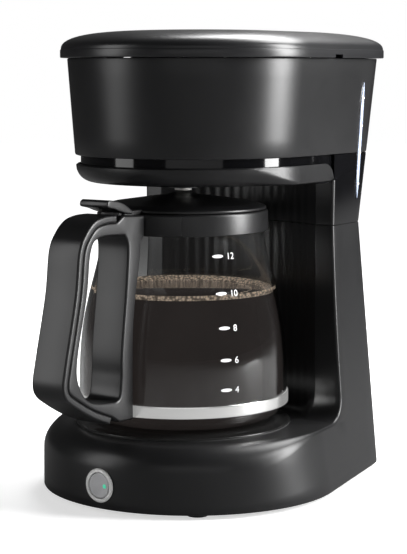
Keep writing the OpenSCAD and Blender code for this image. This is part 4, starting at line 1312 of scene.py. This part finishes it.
class MAKER_OT_glass(bpy.types.Operator):
    """Build the carafe's glass"""
    bl_idname = "maker.glass"
    bl_label = "Carafe glass"

    def execute(self, context):
        inside = glass_z + GLASS_WALL + 0.6 * MM
        outer = [(glass_out(z), z) for z in glass_levels(glass_z)]
        inner = [(glass_out(z) - GLASS_WALL, z) for z in reversed(glass_levels(inside))]
        lip = [(NECK_R, glass_top - 1.1 * MM), (NECK_R - 0.4 * MM, glass_top - 0.3 * MM),
               (NECK_R - GLASS_WALL / 2, glass_top),
               (NECK_R - GLASS_WALL + 0.4 * MM, glass_top - 0.3 * MM),
               (NECK_R - GLASS_WALL, glass_top - 1.1 * MM)]
        bm = turned([(0, glass_z)] + outer + lip + inner + [(0, inside)], ROUND_SEGMENTS)
        finish_mesh(bm, "glass_vessel", finishes["carafe_glass"], "carafe",
                    ["carafe_glass"])
        return {"FINISHED"}


class MAKER_OT_coffee(bpy.types.Operator):
    """Build the coffee and the foam round its edge"""
    bl_idname = "maker.coffee"
    bl_label = "Coffee and foam"

    def execute(self, context):
        sizes = settings(context)[1]
        level = sizes.coffee_level
        inside = glass_z + GLASS_WALL + 0.9 * MM
        slack = GLASS_WALL + 0.25 * MM
        side = [(glass_out(z) - slack, z) for z in glass_levels(inside) if z < level - 0.5 * MM]
        r = glass_out(level) - slack
        profile = [(0, inside)] + side + [(r, level - 0.3 * MM), (r - 0.4 * MM, level), (0, level)]
        finish_mesh(turned(profile, ROUND_SEGMENTS), "coffee", finishes["coffee"], "carafe")
        foam = sizes.foam_height
        profile = [(r - 5.5 * MM, level - 0.05 * MM), (r - 4.6 * MM, level + foam * 0.4),
                   (r - 1.6 * MM, level + foam * 0.75), (r - 0.1 * MM, level + foam),
                   (r + 0.02 * MM, level - 0.6 * MM)]
        bm = turned(rounded(profile, 1 * MM), 192)
        bmesh.ops.holes_fill(bm, edges=[e for e in bm.edges if e.is_boundary])
        for v in bm.verts:
            a = math.atan2(v.co.y, v.co.x)
            ripple = math.sin(23 * a) * 0.5 + math.sin(41 * a + 1.3) * 0.3 + math.sin(67 * a) * 0.2
            inner = math.hypot(v.co.x, v.co.y) < r - 1 * MM
            if v.co.z > level and inner:
                v.co.z += 0.00025 * ripple
        finish_mesh(bm, "foam_ring", finishes["foam"], "carafe")
        bubbles = bmesh.new()
        for i in range(150):
            a = i * 2.399963
            spread = (i * 0.618034) % 1
            q = r - (5 + 13 * spread ** 2.2) * MM
            size = (0.45 + 0.8 * ((i * 0.7548777) % 1)) * MM
            place = (Matrix.Translation((q * math.cos(a), q * math.sin(a), level))
                     @ Matrix.Diagonal((1, 1, 0.5, 1)))
            bmesh.ops.create_icosphere(bubbles, subdivisions=1, radius=size, matrix=place)
        finish_mesh(bubbles, "coffee_bubbles", finishes["foam"], "carafe")
        return {"FINISHED"}


SCALE_MARKS = ((12, 170.5 * MM), (10, 145.7 * MM), (8, 122.9 * MM), (6, 101.5 * MM), (4, 81.4 * MM))


class MAKER_OT_scale(bpy.types.Operator):
    """Print the cup marks and numbers on the glass"""
    bl_idname = "maker.scale"
    bl_label = "Cup scale"

    def execute(self, context):
        sizes = settings(context)[1]
        print_lift = 0.12 * MM

        def wrap(bm, turn, height, shift):
            """Lays a flat print onto the glass at a turn from the handle and a height."""
            for v in bm.verts:
                z = height + v.co.y
                r = glass_out(z) + print_lift
                a = turn + (v.co.x + shift) / r
                v.co = Vector((r * math.sin(a), -r * math.cos(a), z))

        bm = bmesh.new()
        for number, z in SCALE_MARKS:
            mark = bmesh.new()
            bmesh.ops.create_circle(mark, cap_ends=True, segments=40, radius=1,
                                    matrix=Matrix.Diagonal((4.1 * MM, 1.15 * MM, 1, 1)))
            wrap(mark, sizes.mark_turn, z, 0)
            self.join(bm, mark)
            curve = bpy.data.curves.new("number", "FONT")
            curve.body = str(number)
            curve.size = sizes.number_height * 1.35
            text = bpy.data.objects.new("number", curve)
            context.scene.collection.objects.link(text)
            context.view_layer.update()
            graph = context.evaluated_depsgraph_get()
            flat = bpy.data.meshes.new_from_object(text.evaluated_get(graph))
            digits = bmesh.new()
            digits.from_mesh(flat)
            bmesh.ops.subdivide_edges(digits, edges=digits.edges, cuts=1)
            bmesh.ops.translate(digits, verts=digits.verts, vec=(0, -sizes.number_height * 0.47, 0))
            wrap(digits, sizes.mark_turn, z, 6.6 * MM)
            self.join(bm, digits)
            bpy.data.objects.remove(text)
            bpy.data.curves.remove(curve)
            bpy.data.meshes.remove(flat)
        finish_mesh(bm, "cup_scale", finishes["print"], "carafe")
        return {"FINISHED"}

    @staticmethod
    def join(bm, part):
        mesh = bpy.data.meshes.new("part")
        part.to_mesh(mesh)
        part.free()
        bm.from_mesh(mesh)
        bpy.data.meshes.remove(mesh)


class MAKER_OT_collar(bpy.types.Operator):
    """Build the collar round the neck and the steel band round the glass"""
    bl_idname = "maker.collar"
    bl_label = "Collar and band"

    def execute(self, context):
        inner, outer = NECK_R + 0.1 * MM, collar_high.x
        low, high = collar_low.z, collar_high.z
        profile = [(inner, low + 4 * MM), (inner + 0.6 * MM, low + 2 * MM), (outer - 0.9 * MM, low),
                   (outer, low + 0.5 * MM), (outer - 0.1 * MM, high - 1.4 * MM),
                   (outer - 0.8 * MM, high), (inner, high), (inner, low + 4 * MM)]
        finish_mesh(turned(rounded(profile, 0.9 * MM), ROUND_SEGMENTS), "collar_ring",
                    finishes["handle_plastic"],
                    "carafe", ["carafe_collar"], 45)
        r0, r1 = glass_r + 0.12 * MM, strap_high.x
        low, high = strap_low.z, strap_high.z
        profile = [(r0, low), (r1 - 0.1 * MM, low), (r1, low + 1 * MM), (r1, high - 1 * MM),
                   (r1 - 0.1 * MM, high), (r0, high), (r0, low)]
        finish_mesh(turned(rounded(profile, 0.3 * MM), ROUND_SEGMENTS), "steel_band",
                    finishes["bright_steel_painted_sheen"],
                    "carafe", ["carafe_strap"], 45)
        return {"FINISHED"}


# ---- Handle and lid of the carafe, drawn as distance in front of the axis against height ----

handle_w = cover_high.x * 2
handle_low_z = strap_low.z - 2 * MM
handle_top_z = glass_top + 2 * MM
COVER_T = 5 * MM
pivot_z = glass_top - 2 * MM
hinge_front = 80 * MM

GRIP_BACK = [(92, 1), (104, 0.998), (115, 0.98), (124, 0.93), (131, 0.845), (135, 0.64),
             (145, 0.345),
             (148, 0.235), (145, 0.175), (135, 0.125), (118, 0.06), (100, 0.01)]
GRIP_HOLE = [(84, 0.9), (110, 0.9), (119, 0.84), (123, 0.64), (133, 0.345), (131, 0.22),
             (120, 0.14),
             (100, 0.115), (90, 0.125), (87.5, 0.22), (87, 0.345), (82, 0.64), (80, 0.84)]


def smooth_path(points, count):
    """A smooth open path through the given points."""
    path, last = [], len(points) - 1
    for k in range(last):
        a, b = Vector(points[max(0, k - 1)]), Vector(points[k])
        c, d = Vector(points[k + 1]), Vector(points[min(last, k + 2)])
        for t in steps(0, 1, count)[:-1]:
            path.append((2 * b + (c - a) * t + (2 * a - 5 * b + 4 * c - d) * t * t
                         + (3 * b - a - 3 * c + d) * t ** 3) / 2)
    return path + [Vector(points[-1])]


def beside(path, gap):
    """The path moved towards its right-hand side."""
    moved = []
    for i, p in enumerate(path):
        along = (path[min(len(path) - 1, i + 1)] - path[max(0, i - 1)]).normalized()
        moved.append(p + gap * Vector((along.y, -along.x)))
    return moved


def on_handle(points):
    return [(d * MM, mix(handle_low_z, handle_top_z, s)) for d, s in points]


def spaced(path, pitch):
    """A closed path's points at an even pitch."""
    out = []
    for a, b in zip(path, path[1:] + path[:1]):
        count = max(1, round((b - a).length / pitch))
        out += [a.lerp(b, i / count) for i in range(count)]
    return out


def clockwise(path):
    area = sum(a.x * b.y - b.x * a.y for a, b in zip(path, path[1:] + path[:1]))
    return path if area < 0 else list(reversed(path))


def offset_loop(path, gap):
    """A closed clockwise path moved inwards, with corners kept to a mitre."""
    moved, count = [], len(path)
    for i, p in enumerate(path):
        a = (p - path[i - 1]).normalized()
        b = (path[(i + 1) % count] - p).normalized()
        na, nb = Vector((a.y, -a.x)), Vector((b.y, -b.x))
        turn = (na + nb)
        scale = 1 / max(0.5, (1 + na.dot(nb)) / 2) if turn.length > 1e-6 else 1
        moved.append(p + turn.normalized() * gap * min(1.3, math.sqrt(scale)))
    return moved


def side_slab(bm, outer, holes, half_w, edge, rows=4):
    """A slab with rounded rims, standing across the machine, from outlines of (front, height)."""
    rims = []
    for path, inwards in [(clockwise(outer), 1)] + [(clockwise(h), -1) for h in holes]:
        rings = []
        for side in (-1, 1):
            for turn in (steps(math.pi / 2, 0, rows) if side < 0 else steps(0, math.pi / 2, rows)):
                inset = edge * (1 - math.cos(turn)) * inwards
                x = side * (half_w - edge * (1 - math.sin(turn)))
                rings.append([Vector((x, -p.x, p.y)) for p in offset_loop(path, inset)])
        rims.append(loft(bm, rings))
    for end in (0, 1):
        rim_edges = [e for pair in rims for e in edges_of(bm, pair[end])]
        bmesh.ops.triangle_fill(bm, edges=rim_edges, use_beauty=True)
    weld(bm)


class MAKER_OT_handle(bpy.types.Operator):
    """Build the handle: its core with the finger hole and its outer cover"""
    bl_idname = "maker.handle"
    bl_label = "Handle"

    def execute(self, context):
        back = smooth_path(on_handle(GRIP_BACK), 8)
        half_w = handle_w / 2
        bm = bmesh.new()
        cover = back + list(reversed(beside(back, COVER_T)))
        side_slab(bm, spaced(cover, 1.5 * MM), [], half_w, 1.5 * MM, 6)
        finish_mesh(bm, "handle_shell", finishes["handle_plastic"], "carafe",
                    ["handle_cover"], 50)
        inner = glass_r + 1.2 * MM
        neck = collar_high.x
        bottom, height = handle_low_z, handle_top_z - handle_low_z
        post = [(inner, bottom + 1 * MM), (inner, bottom + 0.35 * height),
                (inner - 2 * MM, bottom + 0.55 * height), (inner - 7 * MM, bottom + 0.75 * height),
                (neck + 6 * MM, collar_low.z - 3 * MM), (neck + 2 * MM, collar_low.z + 1 * MM),
                (neck + 2 * MM, glass_top)]
        post = smooth_path(post[:5], 5) + [Vector(p) for p in post[5:]]
        core = (beside(back, COVER_T + 0.1 * MM) + [Vector((90 * MM, bottom + 1.5 * MM))] + post
                + [Vector((85 * MM, handle_top_z - 1 * MM))])
        hole = [Vector(p) for p in on_handle(GRIP_HOLE + GRIP_HOLE[:1])]
        hole = smooth_path(hole, 8)[:-1]
        bm = bmesh.new()
        side_slab(bm, spaced(core, 1.5 * MM), [hole], half_w, 1.6 * MM, 6)
        piece = finish_mesh(bm, "handle_grip", finishes["handle_plastic"], "carafe",
                            ["handle_core"], 50)
        slots = bmesh.new()
        box(slots, (-8 * MM, -93 * MM, glass_top - 9 * MM), (8 * MM, -60 * MM, glass_top + 11 * MM))
        cut(piece, slots)
        clip = bmesh.new()
        r0, r1 = neck + 0.2 * MM, neck + 3.2 * MM
        low, high = collar_low.z + 1 * MM, collar_high.z - 0.5 * MM
        rings = []
        for a in steps(math.radians(-35), math.radians(35), 40):
            section = rounded([(r0, low), (r1, low), (r1, high), (r0, high)], 0.8 * MM, 4, True)
            rings.append([Vector((r * math.sin(a), -r * math.cos(a), z)) for r, z in section])
        first, last = loft(clip, rings)
        for verts in (first, last):
            bmesh.ops.contextual_create(clip, geom=verts)
        weld(clip)
        finish_mesh(clip, "handle_clip", finishes["handle_plastic"], "carafe",
                    sharp=50)
        return {"FINISHED"}


class MAKER_OT_carafe_lid(bpy.types.Operator):
    """Build the carafe's lid with its thumb tab"""
    bl_idname = "maker.carafe_lid"
    bl_label = "Carafe lid"

    def execute(self, context):
        rim_r = 58.7 * MM
        low = glass_top + 0.3 * MM
        high = top_high.z
        pad_r = 6 * MM
        plug = 53.5 * MM
        profile = [(0, low), (plug - 3 * MM, low), (plug - 3 * MM, low - 5 * MM),
                   (plug, low - 5 * MM), (plug, low), (rim_r, low), (rim_r, low + 2 * MM),
                   (rim_r - 8 * MM, low + 4.6 * MM), (24 * MM, high - 3.2 * MM),
                   (pad_r + 7 * MM, high - 2.2 * MM), (pad_r, high), (0, high)]
        bm = turned(rounded(profile, 1.3 * MM), ROUND_SEGMENTS)
        finish_mesh(bm, "carafe_lid_disc", finishes["handle_plastic"], "carafe_top",
                    ["carafe_lid"], 45)
        tab = [(74, low / MM + 1), (84, low / MM + 2.9), (93, low / MM + 5.6),
               (100, low / MM + 7.2),
               (100.2, high / MM - 1.6), (99, high / MM - 0.5), (96, high / MM - 0.1),
               (84, high / MM - 2.5), (74, low / MM + 3.6)]
        path = smooth_path([(a * MM, b * MM) for a, b in tab + tab[:1]], 4)[:-1]
        bm = bmesh.new()
        side_slab(bm, path, [], 12 * MM, 0.9 * MM, 4)
        finish_mesh(bm, "thumb_tab", finishes["handle_plastic"], "carafe_top",
                    sharp=50)
        bm = bmesh.new()
        arm = 7.5 * MM
        box(bm, (-arm, -hinge_front, low), (arm, -40 * MM, low + 2.6 * MM))
        box(bm, (-arm, -hinge_front - 3 * MM, pivot_z), (arm, -hinge_front + 3 * MM, low + 2 * MM))
        bar(bm, (-arm, -hinge_front, pivot_z), (1, 0, 0), 2 * arm, 3.4 * MM, 32)
        finish_mesh(bm, "lid_arm", finishes["handle_plastic"], "carafe_top",
                    sharp=40)
        return {"FINISHED"}


# ---- The CAD pieces that stay as they are ----

class MAKER_OT_frame_finishes(bpy.types.Operator):
    """Give every carried-over CAD piece the finish of its slot"""
    bl_idname = "maker.frame_finishes"
    bl_label = "Frame finishes"

    def execute(self, context):
        slots = {row["node"]: row["material_slot"] for row in frame["record"]["subparts"]}
        for name, piece in frame["nodes"].items():
            material = finishes[slots[name]]
            if not piece.material_slots:
                piece.data.materials.append(material)
            for slot in piece.material_slots:
                slot.material = material
        return {"FINISHED"}


# ---- Studio ----

class MAKER_OT_stage(bpy.types.Operator):
    """Lay the floor and set the light, the surroundings and the camera"""
    bl_idname = "maker.stage"
    bl_label = "Studio"

    def execute(self, context):
        studio = settings(context)[3]
        scene = context.scene
        bm = bmesh.new()
        bmesh.ops.create_circle(bm, cap_ends=True, segments=96, radius=6)
        mesh = bpy.data.meshes.new("studio_floor")
        bm.to_mesh(mesh)
        bm.free()
        floor = bpy.data.objects.new("studio_floor", mesh)
        scene.collection.objects.link(floor)
        mesh.materials.append(finishes["floor"])

        world = bpy.data.worlds.new("studio")
        scene.world = world
        world.use_nodes = True
        tree = world.node_tree
        seen = tree.nodes["Background"]
        seen.inputs["Color"].default_value = (1, 1, 1, 1)
        seen.inputs["Strength"].default_value = 1.0
        shed = tree.nodes.new("ShaderNodeBackground")
        shed.inputs["Color"].default_value = (1, 1, 1, 1)
        shed.inputs["Strength"].default_value = 0.035 * studio.light
        path = tree.nodes.new("ShaderNodeLightPath")
        choose = tree.nodes.new("ShaderNodeMixShader")
        tree.links.new(path.outputs["Is Camera Ray"], choose.inputs["Fac"])
        tree.links.new(shed.outputs["Background"], choose.inputs[1])
        tree.links.new(seen.outputs["Background"], choose.inputs[2])
        tree.links.new(choose.outputs["Shader"], tree.nodes["World Output"].inputs["Surface"])

        heading = studio.heading
        toward = Vector((math.sin(heading), -math.cos(heading), 0))
        across = Vector((math.cos(heading), math.sin(heading), 0))
        centre = Vector((0, base_cy, 0))
        aim = Vector((0, 20 * MM, 150 * MM))
        lamps = (("right", toward * 0.18 + across * 1.25 + Vector((0, 0, 0.50)), (0.42, 1.1), 36),
                 ("left", toward * 0.38 - across * 1.2 + Vector((0, 0, 0.42)), (0.5, 1.1), 5.5),
                 ("top", Vector((0.1, 0.75, 1.2)), (1.3, 0.5), 26),
                 ("front", toward * 2.2 + Vector((0, 0, 0.55)), (2.4, 1.0), 3.6))
        clear = bpy.data.collections.new("kept_out_of_side_light")
        clear.objects.link(bpy.data.objects["glass_vessel"])
        clear.collection_objects[0].light_linking.link_state = "EXCLUDE"
        for name, place, size, power in lamps:
            data = bpy.data.lights.new(name, "AREA")
            data.shape = "RECTANGLE"
            data.size, data.size_y = size
            data.energy = power * studio.light
            lamp = bpy.data.objects.new(name, data)
            lamp.location = place
            lamp.rotation_euler = (aim - place).to_track_quat("-Z", "Y").to_euler()
            scene.collection.objects.link(lamp)
            if name in ("right", "front"):
                lamp.light_linking.receiver_collection = clear

        data = bpy.data.cameras.new("camera")
        data.lens = studio.lens
        data.sensor_width = 36
        data.shift_y = -studio.shift
        camera = bpy.data.objects.new("camera", data)
        camera.location = (centre + toward * studio.distance + across * studio.beside
                           + Vector((0, 0, studio.height)))
        camera.rotation_euler = (math.pi / 2 - studio.pitch, 0, heading)
        scene.collection.objects.link(camera)
        scene.camera = camera
        scene.view_settings.view_transform = "Standard"
        return {"FINISHED"}


PIECES = (MAKER_OT_frame_finishes, MAKER_OT_lower_body, MAKER_OT_arch_frame, MAKER_OT_trim,
          MAKER_OT_housing, MAKER_OT_window, MAKER_OT_lid, MAKER_OT_warming_plate, MAKER_OT_button,
          MAKER_OT_glass, MAKER_OT_coffee, MAKER_OT_scale, MAKER_OT_collar, MAKER_OT_handle,
          MAKER_OT_carafe_lid, MAKER_OT_stage)


class MAKER_PT_panel(bpy.types.Panel):
    """Lists the sizes, the colours and the build steps"""
    bl_label = "Coffee Maker"
    bl_idname = "MAKER_PT_panel"
    bl_space_type = "VIEW_3D"
    bl_region_type = "UI"
    bl_category = "Coffee Maker"

    def draw(self, context):
        for group in settings(context):
            column = self.layout.column()
            for name in group.__annotations__:
                column.prop(group, name)
        for piece in PIECES:
            self.layout.operator(piece.bl_idname)


GROUPS = (("maker_shell", ShellSizes), ("maker_carafe", CarafeSizes), ("maker_colours", Colours),
          ("maker_studio", StudioSizes))


def register():
    for name, group in GROUPS:
        bpy.utils.register_class(group)
        setattr(bpy.types.Scene, name, PointerProperty(type=group))
    for item in PIECES + (MAKER_PT_panel,):
        bpy.utils.register_class(item)


def unregister():
    for item in reversed(PIECES + (MAKER_PT_panel,)):
        bpy.utils.unregister_class(item)
    for name, group in reversed(GROUPS):
        delattr(bpy.types.Scene, name)
        bpy.utils.unregister_class(group)


def main():
    register()
    finishes.update(make_finishes(settings(bpy.context)[2]))
    for piece in PIECES:
        if "FINISHED" not in getattr(bpy.ops.maker, piece.bl_idname.split(".")[1])():
            raise RuntimeError(piece.bl_label + " was not built")


if __name__ == "__main__":
    main()
